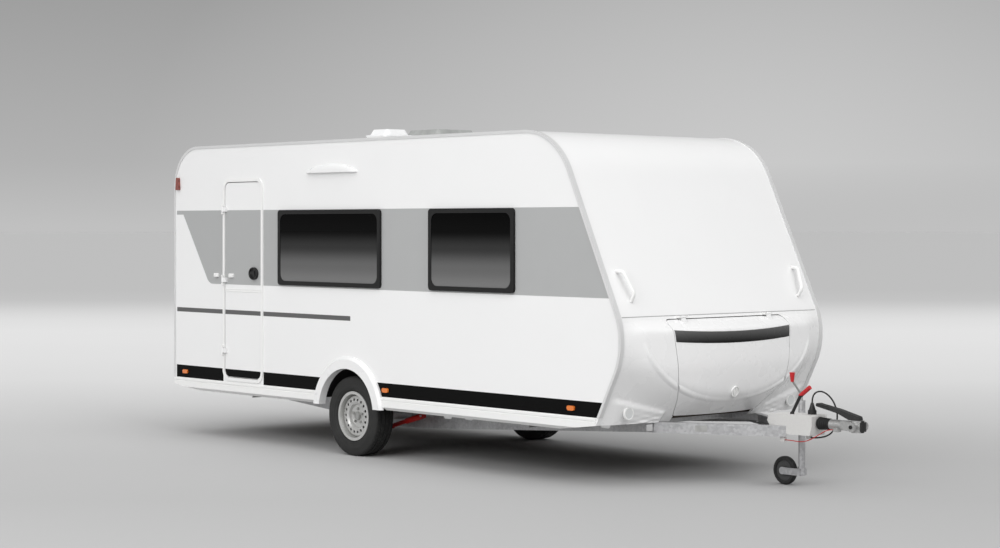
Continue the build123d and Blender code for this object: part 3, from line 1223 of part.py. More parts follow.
# Handbrake lever, bent forward at its grip
brake_foot = Vector(HANDBRAKE_X, HANDBRAKE_Y, HOUSING_TOP_Z - BRAKE_SINK)
brake_base = Vector(HANDBRAKE_X, HANDBRAKE_Y, HOUSING_TOP_Z)
brake_knee = brake_base + Vector(*BRAKE_KNEE)
brake_tip = brake_base + Vector(*BRAKE_TIP)
handbrake = rod(brake_base, brake_knee, HANDBRAKE_RADIUS) + rod(brake_foot, brake_base, GRIP_RADIUS)
handbrake += Pos(*brake_base) * Sphere(GRIP_RADIUS)
handbrake += rod(brake_knee, brake_tip, GRIP_RADIUS) + Pos(*brake_knee) * Sphere(GRIP_RADIUS)
save("handbrake_lever", handbrake - housing)

# Parked plug on the housing
PLUG_ROWS = [
    # radius, share of the plug's height, corner radius
    (0, 0, 0),
    (PLUG_RADIUS, 0, 0),
    (PLUG_RADIUS, 0.33, 6),
    (PLUG_RADIUS * 0.8, 0.38, 0),
    (PLUG_RADIUS * 0.53, 0.72, 8),
    (PLUG_RADIUS * 0.3, 1, 0),
    (0, 1, 0),
]
plug_face = corner_face([(radius, share * PLUG_HEIGHT, corner) for radius, share, corner in PLUG_ROWS])
plug = Pos(PLUG_X, 0, HOUSING_TOP_Z) * revolve(Plane.XZ * plug_face, Axis.Z)
save("plug", plug - housing)


def cord(points, radius):
    """A round cord along straight runs joined by tangent arcs, whose radii it also prints."""
    points = [Vector(*point) for point in points]
    radii = []
    for before, here, after in zip(points, points[1:], points[2:]):
        turn = radians((here - before).get_angle(after - here))
        shorter = min((here - before).length, (after - here).length)
        radii.append(0.45 * shorter / tan(turn / 2))
    print("cord radii", [round(value, 1) for value in radii], "least allowed", CORD_BEND * 2 * radius)
    path = FilletPolyline(*points, radius=radii)
    return sweep(Plane(path @ 0, z_dir=path % 0) * Circle(radius), path=path)


LEAD_ROUTE = [
    # forward, left and up from the plug's end
    (0, 0, SEAT_GAP),
    (0, 0, 60),
    (56, 30, 88),
    (118, 66, 38),
    (150, 88, -56),
    (138, 92, -154),
]
lead_points = [(PLUG_X + ahead, left, PLUG_TOP_Z + up) for ahead, left, up in LEAD_ROUTE]
lead_points += [
    (PLUG_X + 90, GLAND_Y + 30, GLAND_Z + 24),
    (GLAND_X + CORD_RUN, GLAND_Y, GLAND_Z),
    (GLAND_X + SEAT_GAP, GLAND_Y, GLAND_Z),
]
save("lead", cord(lead_points, LEAD_RADIUS))

CABLE_ROUTE = [
    # forward, left and up from the relay lug
    (SEAT_GAP, 0, 0),
    (CORD_RUN, 0, 0),
    (130, -8, -4),
    (210, -10, 8),
    (290, -4, 50),
]
cable_points = [(RELAY_X + ahead, RELAY_Y + left, RELAY_Z + up) for ahead, left, up in CABLE_ROUTE]
cable_points += [
    (CABLE_LUG_X - CORD_RUN, CABLE_LUG_Y, CABLE_LUG_Z),
    (CABLE_LUG_X - SEAT_GAP, CABLE_LUG_Y, CABLE_LUG_Z),
]
save("breakaway_cable", cord(cable_points, CABLE_RADIUS))

# Jockey wheel: tube with crank, swivelling fork and wheel
tube = pin_z(JOCKEY_X, JOCKEY_Y, JOCKEY_TUBE_BOTTOM_Z, JOCKEY_TUBE_TOP_Z, JOCKEY_TUBE_RADIUS)
tube -= pin_z(JOCKEY_X, JOCKEY_Y, JOCKEY_TUBE_BOTTOM_Z, JOCKEY_TUBE_TOP_Z - JOCKEY_CAP, STEM_RADIUS)
save("jockey_tube", tube)

crank_foot = Vector(JOCKEY_X, JOCKEY_Y, JOCKEY_TUBE_TOP_Z)
crank_turn = crank_foot + Vector(0, 0, CRANK_RISE)
crank_end = crank_turn + Vector(*CRANK_ARM)
crank = rod(crank_foot, crank_turn, CRANK_RADIUS) + rod(crank_turn, crank_end, CRANK_RADIUS)
crank += Pos(*crank_turn) * Sphere(CRANK_RADIUS)
knob_middle = crank_end + Vector(0, 0, KNOB_HEIGHT / 2 - CRANK_RADIUS)
crank += Pos(*knob_middle) * Cone(KNOB_FOOT_RADIUS, KNOB_TOP_RADIUS, KNOB_HEIGHT)
save("jockey_crank", crank)

cheek_y = JOCKEY_WHEEL_WIDTH / 2 + MOVING_GAP
wheel_x = JOCKEY_X - JOCKEY_TRAIL
fork_side = cheek_y + CHEEK
fork_front_x = JOCKEY_X + FORK_NOSE
fork_high_z = FORK_BOTTOM_Z + FORK_HEIGHT
fork = pin_z(JOCKEY_X, JOCKEY_Y, FORK_BOTTOM_Z, FORK_TOP_Z, JOCKEY_TUBE_RADIUS)
fork += pin_z(JOCKEY_X, JOCKEY_Y, FORK_BOTTOM_Z, STEM_TOP_Z, STEM_RADIUS - PIN_GAP)
fork += block(
    JOCKEY_X - FORK_BRIDGE, fork_front_x, JOCKEY_Y - fork_side, JOCKEY_Y + fork_side,
    FORK_BOTTOM_Z, fork_high_z,
)
for y0 in (JOCKEY_Y - fork_side, JOCKEY_Y + cheek_y):
    fork += block(wheel_x, fork_front_x, y0, y0 + CHEEK, FORK_BOTTOM_Z, fork_high_z)
    fork += pin_y(wheel_x, JOCKEY_WHEEL_RADIUS, y0, y0 + CHEEK, CHEEK_RADIUS)
fork += pin_y(wheel_x, JOCKEY_WHEEL_RADIUS, JOCKEY_Y - cheek_y, JOCKEY_Y + cheek_y, JOCKEY_PIN_RADIUS)
save("jockey_fork", fork)

tread_inner = JOCKEY_WHEEL_RADIUS - JOCKEY_TREAD
jockey_wheel = even_ring([
    (JOCKEY_PIN_RADIUS + PIN_GAP, 0, 0),
    (JOCKEY_HUB_RADIUS, 0, 0),
    (JOCKEY_HUB_RADIUS + JOCKEY_DRAFT, JOCKEY_DISH, 0),
    (tread_inner - JOCKEY_DRAFT, JOCKEY_DISH, 0),
    (tread_inner, JOCKEY_DRAFT / 2, 0),
    (tread_inner + JOCKEY_TREAD * 2 / 3, JOCKEY_DRAFT / 2, 0),
    (JOCKEY_WHEEL_RADIUS, JOCKEY_DISH, JOCKEY_ROUNDING),
], JOCKEY_WHEEL_WIDTH / 2)
save("jockey_wheel", Pos(wheel_x, JOCKEY_Y, JOCKEY_WHEEL_RADIUS) * jockey_wheel)

# Corner steadies, folded up under the floor
STEADIES = [
    # name, pivot x, direction in which the folded leg points, y
    ("steady_rear_right", STEADY_REAR_X, 1, -STEADY_Y),
    ("steady_rear_left", STEADY_REAR_X, 1, STEADY_Y),
    ("steady_front_right", STEADY_FRONT_X, -1, -STEADY_Y),
    ("steady_front_left", STEADY_FRONT_X, -1, STEADY_Y),
]
steady_half = STEADY_WIDTH / 2
steady_rise = STEADY_HEIGHT / 2
bracket_side = steady_half + MOVING_GAP + BRACKET_SHEET
brackets = []
for name, x, points, y in STEADIES:
    tip = x + points * STEADY_LENGTH
    right, left = y - steady_half, y + steady_half
    leg = block(*sorted((x, tip)), right, left, PIVOT_Z - steady_rise, PIVOT_Z + steady_rise)
    leg += pin_y(x, PIVOT_Z, right, left, steady_rise)
    foot = Box(STEADY_FOOT, STEADY_FOOT_WIDTH, STEADY_FOOT_SHEET)
    leg += Pos(tip, y, PIVOT_Z - STEADY_FOOT_SHEET) * Rot(0, -points * STEADY_FOOT_ANGLE, 0) * foot
    leg -= pin_y(x, PIVOT_Z, right, left, STEADY_PIN_RADIUS + PIN_GAP)
    save(name, leg)
    bracket = pin_y(x, PIVOT_Z, y - bracket_side, y + bracket_side, STEADY_PIN_RADIUS)
    for y0 in (y - bracket_side, left + MOVING_GAP):
        bracket += block(
            x - BRACKET_HALF, x + BRACKET_HALF, y0, y0 + BRACKET_SHEET,
            PIVOT_Z - BRACKET_BELOW, BODY_BOTTOM_Z,
        )
    brackets.append(bracket)
save("steady_brackets", *brackets)
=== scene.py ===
# %% [markdown]
# # A travel caravan for the studio
# The solids of the caravan arrive as a fixed frame. This lesson adds what a drawing office leaves out:
# films, tread, bolts, locks, cords and every finish. All sizes are metres in the frame's own axes,
# with x forward, y to the left and z up.

# %% Load the frame
import math

import bpy
from mathutils import Matrix, Vector


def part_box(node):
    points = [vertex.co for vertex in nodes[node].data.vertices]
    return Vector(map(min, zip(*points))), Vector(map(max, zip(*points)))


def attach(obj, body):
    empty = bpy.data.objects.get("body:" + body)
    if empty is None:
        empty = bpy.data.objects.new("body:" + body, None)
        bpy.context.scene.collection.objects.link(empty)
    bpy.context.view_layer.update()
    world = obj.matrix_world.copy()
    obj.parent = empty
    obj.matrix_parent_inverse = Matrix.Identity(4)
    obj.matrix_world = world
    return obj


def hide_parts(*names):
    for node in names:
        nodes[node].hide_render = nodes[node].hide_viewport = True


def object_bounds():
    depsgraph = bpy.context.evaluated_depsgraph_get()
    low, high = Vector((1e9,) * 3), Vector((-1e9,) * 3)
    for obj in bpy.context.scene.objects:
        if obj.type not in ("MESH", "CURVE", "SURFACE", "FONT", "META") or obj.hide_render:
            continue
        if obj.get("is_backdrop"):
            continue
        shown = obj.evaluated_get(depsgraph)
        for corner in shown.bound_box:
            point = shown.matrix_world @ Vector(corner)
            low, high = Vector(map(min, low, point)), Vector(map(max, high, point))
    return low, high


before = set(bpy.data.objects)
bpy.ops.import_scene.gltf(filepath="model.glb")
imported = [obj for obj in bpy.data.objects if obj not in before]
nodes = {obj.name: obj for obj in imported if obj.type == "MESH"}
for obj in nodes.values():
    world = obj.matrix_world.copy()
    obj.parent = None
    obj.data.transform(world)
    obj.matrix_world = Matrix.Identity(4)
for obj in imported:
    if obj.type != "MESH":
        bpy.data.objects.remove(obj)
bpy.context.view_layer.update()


def middle_of(name):
    """The middle of a node's box."""
    return [(low + high) / 2 for low, high in zip(*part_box(name))]


axle_x, wheel_y, axle_z = middle_of("rim_right")


def frame_x(millimetres):
    """A place along the body, from millimetres ahead of the axle."""
    return axle_x + millimetres / 1000


print("nodes", len(nodes), "axle at", round(axle_x, 4), round(axle_z, 4))

# %% [markdown]
# ## Camera
# The photograph was taken from the front right corner at about eye height, with the camera level.
# A level camera keeps upright edges upright, so the picture is framed with a small vertical shift
# and not by tilting. The place is measured from the axle, because the wheel is the surest point.

# %% Camera at the photograph's angle
QUARTER = math.radians(90)
CAMERA_TURN = math.radians(48.38)
CAMERA_AHEAD, CAMERA_Y, CAMERA_HEIGHT = 13.0542, -11.0613, 1.8215
SENSOR_MM, LENS_MM, LENS_SHIFT = 36, 74.78, -0.0485
bpy.ops.object.select_all(action="DESELECT")
bpy.ops.object.camera_add(
    location=(axle_x + CAMERA_AHEAD, CAMERA_Y, CAMERA_HEIGHT), rotation=(QUARTER, 0, CAMERA_TURN),
)
studio_camera = bpy.context.object
studio_camera.name = "studio_camera"
studio_camera.data.sensor_fit = "HORIZONTAL"
studio_camera.data.sensor_width = SENSOR_MM
studio_camera.data.lens = LENS_MM
studio_camera.data.shift_y = LENS_SHIFT
studio_camera.data.clip_end = 600
bpy.context.scene.camera = studio_camera
print("camera at", [round(value, 3) for value in studio_camera.location])

# %% [markdown]
# ## Finishes: the tools
# Every finish here is a small tree on the Principled shader. The pattern reads Object coordinates, which are
# metres on these pieces, so a noise scale of 100 means spots of about a centimetre. One helper gives
# the tree, one feeds a node, one makes a noise, and others turn it into shades, roughness or bumps. Pictures of
# lacquer or zinc could be used too, but a pattern that is worked out has no seams and needs no file.

# %% Colours and an empty finish
def linear(level):
    """A screen level from 0 to 255 as the linear value that a shader socket holds."""
    share = level / 255
    return share / 12.92 if share <= 0.04045 else ((share + 0.055) / 1.055) ** 2.4


def paint(red, green, blue):
    """A colour socket's value from screen levels."""
    return (linear(red), linear(green), linear(blue), 1)


def grey(level):
    """A neutral colour from one screen level."""
    return paint(level, level, level)


def darker(colour, share):
    """A colour with a share of its light taken away."""
    return tuple(value * (1 - share) for value in colour[:3]) + (1,)


def new_finish(name):
    """A material, its tree, its shader and the Object coordinates."""
    material = bpy.data.materials.new(name)
    material.use_nodes = True
    tree = material.node_tree
    place = tree.nodes.new("ShaderNodeTexCoord").outputs["Object"]
    return material, tree, tree.nodes["Principled BSDF"], place


print("middle grey is", round(linear(128), 4))

# %% Nodes and their inputs
def feed(node, inputs):
    """Feed a node's inputs by name or number: a socket is linked, and anything else is set as a constant."""
    for key, value in inputs.items():
        if isinstance(value, bpy.types.NodeSocket):
            node.id_data.links.new(value, node.inputs[key])
        else:
            node.inputs[key].default_value = value


def made(tree, kind, output, inputs):
    """One output of a new node whose inputs are fed."""
    node = tree.nodes.new(kind)
    feed(node, inputs)
    return node.outputs[output]


def mapped(tree, place, scale, location=(0, 0, 0)):
    """A place that is scaled and then moved."""
    return made(tree, "ShaderNodeMapping", "Vector", {"Vector": place, "Location": location, "Scale": scale})


def reckoned(tree, kind, operation, *values):
    """The value of a Math or VectorMath node on one or two inputs."""
    step = tree.nodes.new(kind)
    step.operation = operation
    feed(step, dict(enumerate(values)))
    return step.outputs["Value"]


print("node helpers ready")

# %% Patterns: spots, shades, edges and bumps
def spots(tree, place, scale, detail=3, stretch=None):
    """A cloudy noise, stretched along an axis where the metal was rolled or the water ran."""
    if stretch:
        place = mapped(tree, place, stretch)
    return made(tree, "ShaderNodeTexNoise", "Fac", {"Vector": place, "Scale": scale, "Detail": detail})


def shades(tree, amount, rows, smooth="LINEAR"):
    """A colour from an amount, by rows of (amount, colour)."""
    ramp = tree.nodes.new("ShaderNodeValToRGB")
    ramp.color_ramp.interpolation = smooth
    while len(ramp.color_ramp.elements) < len(rows):
        ramp.color_ramp.elements.new(0.5)
    for element, (position, colour) in zip(ramp.color_ramp.elements, rows):
        element.position = position
        element.color = colour
    feed(ramp, {"Fac": amount})
    return ramp.outputs["Color"]


def cloudy(tree, amount, low_colour, high_colour):
    """Two shades over the middle of a noise's range."""
    return shades(tree, amount, [(0.3, low_colour), (0.7, high_colour)])


def spread(tree, amount, low, high, start=0.3, end=0.7):
    """An amount moved into another range."""
    return made(tree, "ShaderNodeMapRange", "Result", {
        "Value": amount, "From Min": start, "From Max": end, "To Min": low, "To Max": high,
    })


def step_at(tree, amount, edge, soft=0.002):
    """0 below an edge and 1 above it."""
    return spread(tree, amount, 0, 1, edge - soft, edge + soft)


def relief(tree, amount, strength, depth):
    """The normal of bumps from an amount, in metres."""
    return made(tree, "ShaderNodeBump", "Normal", {"Height": amount, "Strength": strength, "Distance": depth})


def axis_of(tree, place, axis):
    """One coordinate of the place on the piece."""
    return made(tree, "ShaderNodeSeparateXYZ", axis, {"Vector": place})


def blended(tree, amount, colour_low, colour_high):
    """Two colours mixed by an amount. Blender numbers the colour inputs of this node 6 and 7."""
    mix = tree.nodes.new("ShaderNodeMix")
    mix.data_type = "RGBA"
    feed(mix, {"Factor": amount, 6: colour_low, 7: colour_high})
    return mix.outputs[2]


print("pattern helpers ready")

# %% A plain finish
def plain_finish(name, colour, tone, rough, grain, depth, metal=0.0, coat=0.0, shine=0.5, stretch=None):
    """One colour that wanders by a tone, a roughness that wanders with it, and a relief nine times finer."""
    material, tree, shader, place = new_finish(name)
    wander = spots(tree, place, grain, 4, stretch)
    feed(shader, {
        "Base Color": cloudy(tree, wander, darker(colour, tone), colour),
        "Roughness": spread(tree, wander, *rough),
        "Metallic": metal, "Specular IOR Level": shine, "Coat Weight": coat, "Coat Roughness": 0.06,
        "Normal": relief(tree, spots(tree, place, grain * 9, 2, stretch), 0.25, depth),
    })
    return material


print("plain finish ready")

# %% [markdown]
# ## Body finishes
# The walls are smooth white-lacquered sheet with a very faint waviness, and the nose is a gloss white moulding.
# The grey, dark and black bands are adhesive films, so they get their own flatter finishes. After its name and
# colour, each row gives the tone, the roughness, the grains in a metre and the depth of the relief.

# %% Whites, films and plastics
white_sheet = plain_finish("white_sheet", grey(240), 0.006, (0.32, 0.36), 3.0, 0.00005, coat=0.25)
white_moulding = plain_finish("white_moulding", grey(238), 0.006, (0.26, 0.29), 5.0, 0.00003, coat=0.35)
white_trim = plain_finish("white_trim", paint(240, 240, 239), 0.02, (0.34, 0.44), 14.0, 0.0002)
rail_grey = plain_finish(
    "rail_grey", grey(222), 0.04, (0.32, 0.42), 30.0, 0.0001, metal=0.2, stretch=(0.2, 1, 0.2),
)
grey_film = plain_finish("grey_film", paint(173, 174, 174), 0.015, (0.40, 0.48), 6.0, 0.0001)
dark_film = plain_finish("dark_film", grey(98), 0.03, (0.36, 0.46), 9.0, 0.0001, shine=0.2)
black_film = plain_finish("black_film", grey(17), 0.10, (0.40, 0.52), 9.0, 0.0001, shine=0.04)
black_frame = plain_finish("black_frame", grey(38), 0.12, (0.38, 0.52), 40.0, 0.0003, shine=0.15)
black_plastic = plain_finish("black_plastic", grey(26), 0.15, (0.42, 0.58), 60.0, 0.0004)
black_rubber = plain_finish("black_rubber", grey(30), 0.18, (0.62, 0.80), 45.0, 0.0006)
floor_board = plain_finish(
    "floor_board", paint(74, 62, 50), 0.25, (0.60, 0.80), 12.0, 0.0006, stretch=(0.3, 1, 1),
)
print("body finishes made")

# %% [markdown]
# ## Metal finishes
# Hot-dip galvanising freezes in flat crystals, so its colour comes from Voronoi cells of about two centimetres
# with a little cloud over them. Wheel lacquer, cast housing and the iron drums are simpler.

# %% Galvanising, wheel lacquer, castings
def galvanised_finish(name, bright, dull):
    """Zinc crystals: cells of two greys, with a roughness that follows them."""
    material, tree, shader, place = new_finish(name)
    crystals = made(tree, "ShaderNodeTexVoronoi", "Color", {"Vector": place, "Scale": 55})
    tone = made(tree, "ShaderNodeRGBToBW", "Val", {"Color": crystals})
    zinc = shades(tree, tone, [(0.15, dull), (0.85, bright)])
    stain = shades(tree, spots(tree, place, 6, 4), [(0.35, dull), (0.65, bright)])
    feed(shader, {
        "Base Color": blended(tree, 0.4, zinc, stain), "Roughness": spread(tree, tone, 0.34, 0.52, 0.1, 0.9),
        "Metallic": 0.75, "Normal": relief(tree, tone, 0.15, 0.0002),
    })
    return material


galvanised = galvanised_finish("galvanised", paint(205, 205, 206), paint(172, 172, 174))
zinc_steel = plain_finish("zinc_steel", paint(190, 190, 188), 0.15, (0.28, 0.44), 30.0, 0.0002, metal=0.85)
rim_lacquer = plain_finish(
    "rim_lacquer", paint(206, 206, 204), 0.06, (0.28, 0.40), 60.0, 0.0001, metal=0.55, coat=0.3,
)
housing_paint = plain_finish(
    "housing_paint", paint(214, 213, 211), 0.05, (0.38, 0.50), 50.0, 0.0003, metal=0.15,
)
drum_iron = plain_finish("drum_iron", paint(96, 88, 80), 0.35, (0.60, 0.80), 35.0, 0.0006, metal=0.4)
red_paint = plain_finish("red_paint", paint(176, 28, 24), 0.15, (0.32, 0.46), 30.0, 0.0002)
print("metal finishes made")

# %% [markdown]
# ## Cords
# Two cords show on the drawbar: the black road-lighting lead, which loops from its gland to the parked plug,
# and the thin red breakaway cable. Each could be a circle swept by hand, but one NURBS spline whose control points
# are the route bends as softly as a real cord and can be measured. The order is set after the points, because
# before them it falls back to straight runs.

# %% The two cords on the drawbar
lead_finish = plain_finish("lead_sheath", grey(24), 0.15, (0.48, 0.62), 120.0, 0.0002)
cable_finish = plain_finish("cable_sheath", paint(186, 34, 34), 0.12, (0.30, 0.44), 160.0, 0.0002)


def lay_cord(name, route, diameter, finish):
    """A cord through a route given in millimetres from the axle."""
    curve = bpy.data.curves.new(name, "CURVE")
    curve.dimensions = "3D"
    spline = curve.splines.new("NURBS")
    spline.points.add(len(route) - 1)
    for point, (x, y, z) in zip(spline.points, route):
        point.co = (frame_x(x), y / 1000, z / 1000, 1)
    spline.order_u = 3
    spline.use_endpoint_u = True
    spline.resolution_u = 16
    cord = bpy.data.objects.new(name, curve)
    bpy.context.scene.collection.objects.link(cord)
    bpy.context.view_layer.update()
    line = bpy.data.meshes.new_from_object(cord)
    ends = ([line.vertices[number].co for number in edge.vertices] for edge in line.edges)
    length = sum((start - end).length for start, end in ends)
    bpy.data.meshes.remove(line)
    curve.bevel_depth = diameter / 2
    curve.bevel_resolution = 5
    curve.use_fill_caps = True
    curve.materials.append(finish)
    print(name, "length", round(length, 4))
    return cord, length


lead_route = [
    (3776.3, 50, 360), (3836, 50, 360), (3918, 80, 384), (3966, 92, 452), (3978, 88, 550),
    (3946, 66, 644), (3884, 30, 694), (3828, 0, 666), (3828, 0, 606.3),
]
lead, lead_length = lay_cord("road_lead", lead_route, 0.011, lead_finish)
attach(lead, "caravan_body")
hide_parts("lead")

cable_route = [
    (3640.3, -62, 342), (3700, -62, 342), (3770, -70, 338), (3850, -72, 350),
    (3930, -66, 392), (4004, -50, 440), (4059.7, -50, 440),
]
cable, cable_length = lay_cord("breakaway_line", cable_route, 0.006, cable_finish)
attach(cable, "caravan_body")
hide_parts("breakaway_cable")

# %% [markdown]
# ## Floor, background and light
# The studio is a pale floor that runs up into a soft grey background. The light comes from high above, as from
# a ceiling of soft boxes that is stronger on the camera's side, so the body's shadow stays dark and close, and
# two lamps from the right and the front fill the upright faces. The floor's colour holds painted light that follows
# its depth from the camera's end of the studio: painted shade, a quiet middle grey, near the camera and under the
# caravan, a painted pool of light, a bright sweep, behind it, and then the grey of the background.

# %% Floor
VIEW_DEPTH = Vector((-math.sin(CAMERA_TURN), math.cos(CAMERA_TURN), 0))
CAMERA_DEPTH = studio_camera.location.xy.to_3d().dot(VIEW_DEPTH)
FLOOR_SIZE, FAR_DEPTH = 900, 80
FLOOR_PAINTED_LIGHT = [
    # metres from the camera, screen level of the paint with its painted light and shade
    (8, 172), (12, 174), (13.8, 175), (16.1, 185), (19.5, 206), (24.5, 228), (28, 234), (33, 239),
    (36, 240), (40, 236), (42.3, 231), (44.8, 224), (47.6, 215), (50.8, 207), (58.7, 203), (FAR_DEPTH, 203),
]
bpy.ops.object.select_all(action="DESELECT")
bpy.ops.mesh.primitive_plane_add(size=FLOOR_SIZE)
studio_floor = bpy.context.object
studio_floor.name = "studio_floor"
floor_paint, tree, shader, place = new_finish("floor_paint")
depth = reckoned(tree, "ShaderNodeVectorMath", "DOT_PRODUCT", place, VIEW_DEPTH)
share = spread(tree, depth, 0, 1, CAMERA_DEPTH, CAMERA_DEPTH + FAR_DEPTH)
# The floor's colour is painted light: painted shade near the camera and under the caravan, a painted pool of light
# behind it.
painted_light_sweep = shades(tree, share, [(metres / FAR_DEPTH, grey(tone)) for metres, tone in FLOOR_PAINTED_LIGHT])
feed(shader, {"Base Color": painted_light_sweep, "Roughness": 0.9, "Specular IOR Level": 0.05})
studio_floor.data.materials.append(floor_paint)
studio_floor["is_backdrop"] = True
print("floor with", len(FLOOR_PAINTED_LIGHT), "tones, camera depth", round(CAMERA_DEPTH, 3))

# %% [markdown]
# The world does two jobs. As light it is the soft ceiling, and to the camera, and in gloss, it is the background:
# grey, paler near the horizon, with a faint glow right of the middle. A painted wall could stand there instead, but
# it would throw light and shadow of its own, so the Light Path node parts the two jobs.

# %% World: a soft ceiling of light, and a grey background with a glow to look at
CEILING_DIM, CEILING_BRIGHT = (0.10, 0.10, 0.10, 1), (1, 1, 1, 1)
CEILING = [(0.0, CEILING_DIM), (0.36, CEILING_DIM), (0.50, CEILING_BRIGHT)]
CEILING_AWAY, CEILING_NEAR, CEILING_BLEND = 0.55, 1.6, 0.35
BACKGROUND = [(0.0, grey(192)), (0.03, grey(178)), (0.115, grey(157)), (0.6, grey(150))]
GLOW, GLOW_SCALE, GLOW_MIDDLE = grey(204), (3.33, 3.33, 4.5), (-2.196, 2.503, 0.018)
HORIZON_FADE = 0.03
world = bpy.data.worlds.new("studio_world")
bpy.context.scene.world = world
world.use_nodes = True
tree = world.node_tree
direction = tree.nodes.new("ShaderNodeTexCoord").outputs["Generated"]
height = axis_of(tree, direction, "Z")
toward = reckoned(tree, "ShaderNodeVectorMath", "DOT_PRODUCT", direction, -VIEW_DEPTH)
light_fill = made(tree, "ShaderNodeBackground", "Background", {
    "Color": shades(tree, height, CEILING),
    "Strength": spread(tree, toward, CEILING_AWAY, CEILING_NEAR, -CEILING_BLEND, CEILING_BLEND),
})
background = tree.nodes["Background"]
glow_place = mapped(tree, direction, GLOW_SCALE)
glow_reach = reckoned(tree, "ShaderNodeVectorMath", "DISTANCE", glow_place, GLOW_MIDDLE)
glow = spread(tree, glow_reach, 1, 0, 0, 1)
above = spread(tree, height, 0, 1, 0.0, HORIZON_FADE)
lit = reckoned(tree, "ShaderNodeMath", "MULTIPLY", glow, above)
feed(background, {"Color": blended(tree, lit, shades(tree, height, BACKGROUND), GLOW), "Strength": 1})
rays = tree.nodes.new("ShaderNodeLightPath").outputs
mirrored = reckoned(tree, "ShaderNodeMath", "MAXIMUM", rays["Is Glossy Ray"], rays["Is Transmission Ray"])
seen = reckoned(tree, "ShaderNodeMath", "MAXIMUM", rays["Is Camera Ray"], mirrored)
choice = made(tree, "ShaderNodeMixShader", "Shader", {
    "Fac": seen, 1: light_fill, 2: background.outputs["Background"],
})
feed(tree.nodes["World Output"], {"Surface": choice})
print("world with", len(tree.nodes), "nodes")

# %% Lamps
LAMPS = [
    # name, place, target, width, depth, watts
    ("side_softbox", (2.0, -11.5, 5.2), (0, 0, 1.0), 12, 5, 590),
    ("front_softbox", (12.5, -2.5, 6.6), (2.0, 0, 0.9), 7, 4, 350),
]
for name, spot, target, width, depth, watts in LAMPS:
    bpy.ops.object.light_add(type="AREA", location=spot)
    lamp = bpy.context.object
    lamp.name = name
    lamp.rotation_euler = (Vector(target) - Vector(spot)).to_track_quat("-Z", "Y").to_euler()
    lamp.data.shape = "RECTANGLE"
    lamp.data.size = width
    lamp.data.size_y = depth
    lamp.data.energy = watts
bpy.context.scene.view_settings.view_transform = "Standard"
print("stage ready with", len(LAMPS), "lamps")

# %% [markdown]
# ## Finishes that change across one node
# Some nodes hold pieces of several colours. A mask from Object coordinates picks the colour by place:
# lamps by where they sit on the body, and the two rooflights by their side of the roof.

# %% Lamp lenses
def ribbed_lens(name, rib_scale, rough, depth, first, steps):
    """A ribbed lens whose colour changes in steps of (axis, edge, colour), painted darker in each groove as shade
    and lighter on each crest as a highlight. Y counts outward from the middle.
    """
    material, tree, shader, place = new_finish(name)
    ribs = made(tree, "ShaderNodeTexWave", "Fac", {"Vector": place, "Scale": rib_scale})

    def painted_rib_light(groove, crest):
        return shades(tree, ribs, [(0.0, paint(*groove)), (1.0, paint(*crest))])

    lens = painted_rib_light(*first)
    for axis, edge, colour in steps:
        amount = axis_of(tree, place, axis)
        if axis == "Y":
            amount = reckoned(tree, "ShaderNodeMath", "ABSOLUTE", amount)
        lens = blended(tree, step_at(tree, amount, edge), lens, painted_rib_light(*colour))
    bumps = relief(tree, ribs, 0.4, depth)
    feed(shader, {"Base Color": lens, "Roughness": rough, "Coat Weight": 0.6, "Normal": bumps})
    return material


# each colour as groove and crest: the groove darker as painted shade, the crest lighter as a painted highlight
AMBER, RED_BROWN = ((206, 96, 24), (240, 138, 52)), ((112, 50, 42), (150, 72, 60))
CLEAR, REVERSE_WHITE = ((206, 208, 208), (232, 232, 232)), ((214, 214, 214), (236, 236, 236))
STOP_RED, TURN_AMBER = ((128, 12, 12), (176, 26, 22)), ((196, 92, 22), (236, 134, 48))
HIGH_LAMPS_Z, FRONT_LAMPS_X, RED_FROM_Y, AMBER_FROM_Y = 1.5, axle_x + 2.62, 0.73, 0.89
lens_finish = ribbed_lens(
    "marker_lenses", 60, 0.18, 0.0008, AMBER,
    [("Z", HIGH_LAMPS_Z, RED_BROWN), ("X", FRONT_LAMPS_X, CLEAR)],
)
rear_lens = ribbed_lens(
    "rear_lenses", 40, 0.16, 0.001, REVERSE_WHITE,
    [("Y", RED_FROM_Y, STOP_RED), ("Y", AMBER_FROM_Y, TURN_AMBER)],
)
print("lenses made")

# %% [markdown]
# The windows are smoked acrylic with a painted reflection: the colour fades from grey at the foot to near black at
# the top, as a pane does where it mirrors a pale floor and a dark room. A true mirror would show only this bare
# studio, so the colour carries the painted reflection and the gloss stays low. Of the two rooflights one is milky
# and one tinted, and a mask by their side picks which.

# %% Window acrylic with a painted reflection, and rooflight domes
smoked_acrylic, tree, shader, place = new_finish("smoked_acrylic")
pane_low, pane_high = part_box("window_panes")
upward = spread(tree, axis_of(tree, place, "Z"), 0, 1, pane_low.z, pane_high.z)
# Painted reflection: grey low down where the pane would mirror the pale floor, near black above where it would
# mirror a dark room.
PANE_PAINTED_REFLECTION = [(0.0, grey(118)), (0.25, grey(100)), (0.52, grey(52)), (0.75, grey(9)), (1.0, grey(4))]
feed(shader, {
    "Base Color": shades(tree, upward, PANE_PAINTED_REFLECTION, "EASE"),
    "Roughness": spread(tree, spots(tree, place, 2.0), 0.05, 0.09), "Specular IOR Level": 0.04,
})

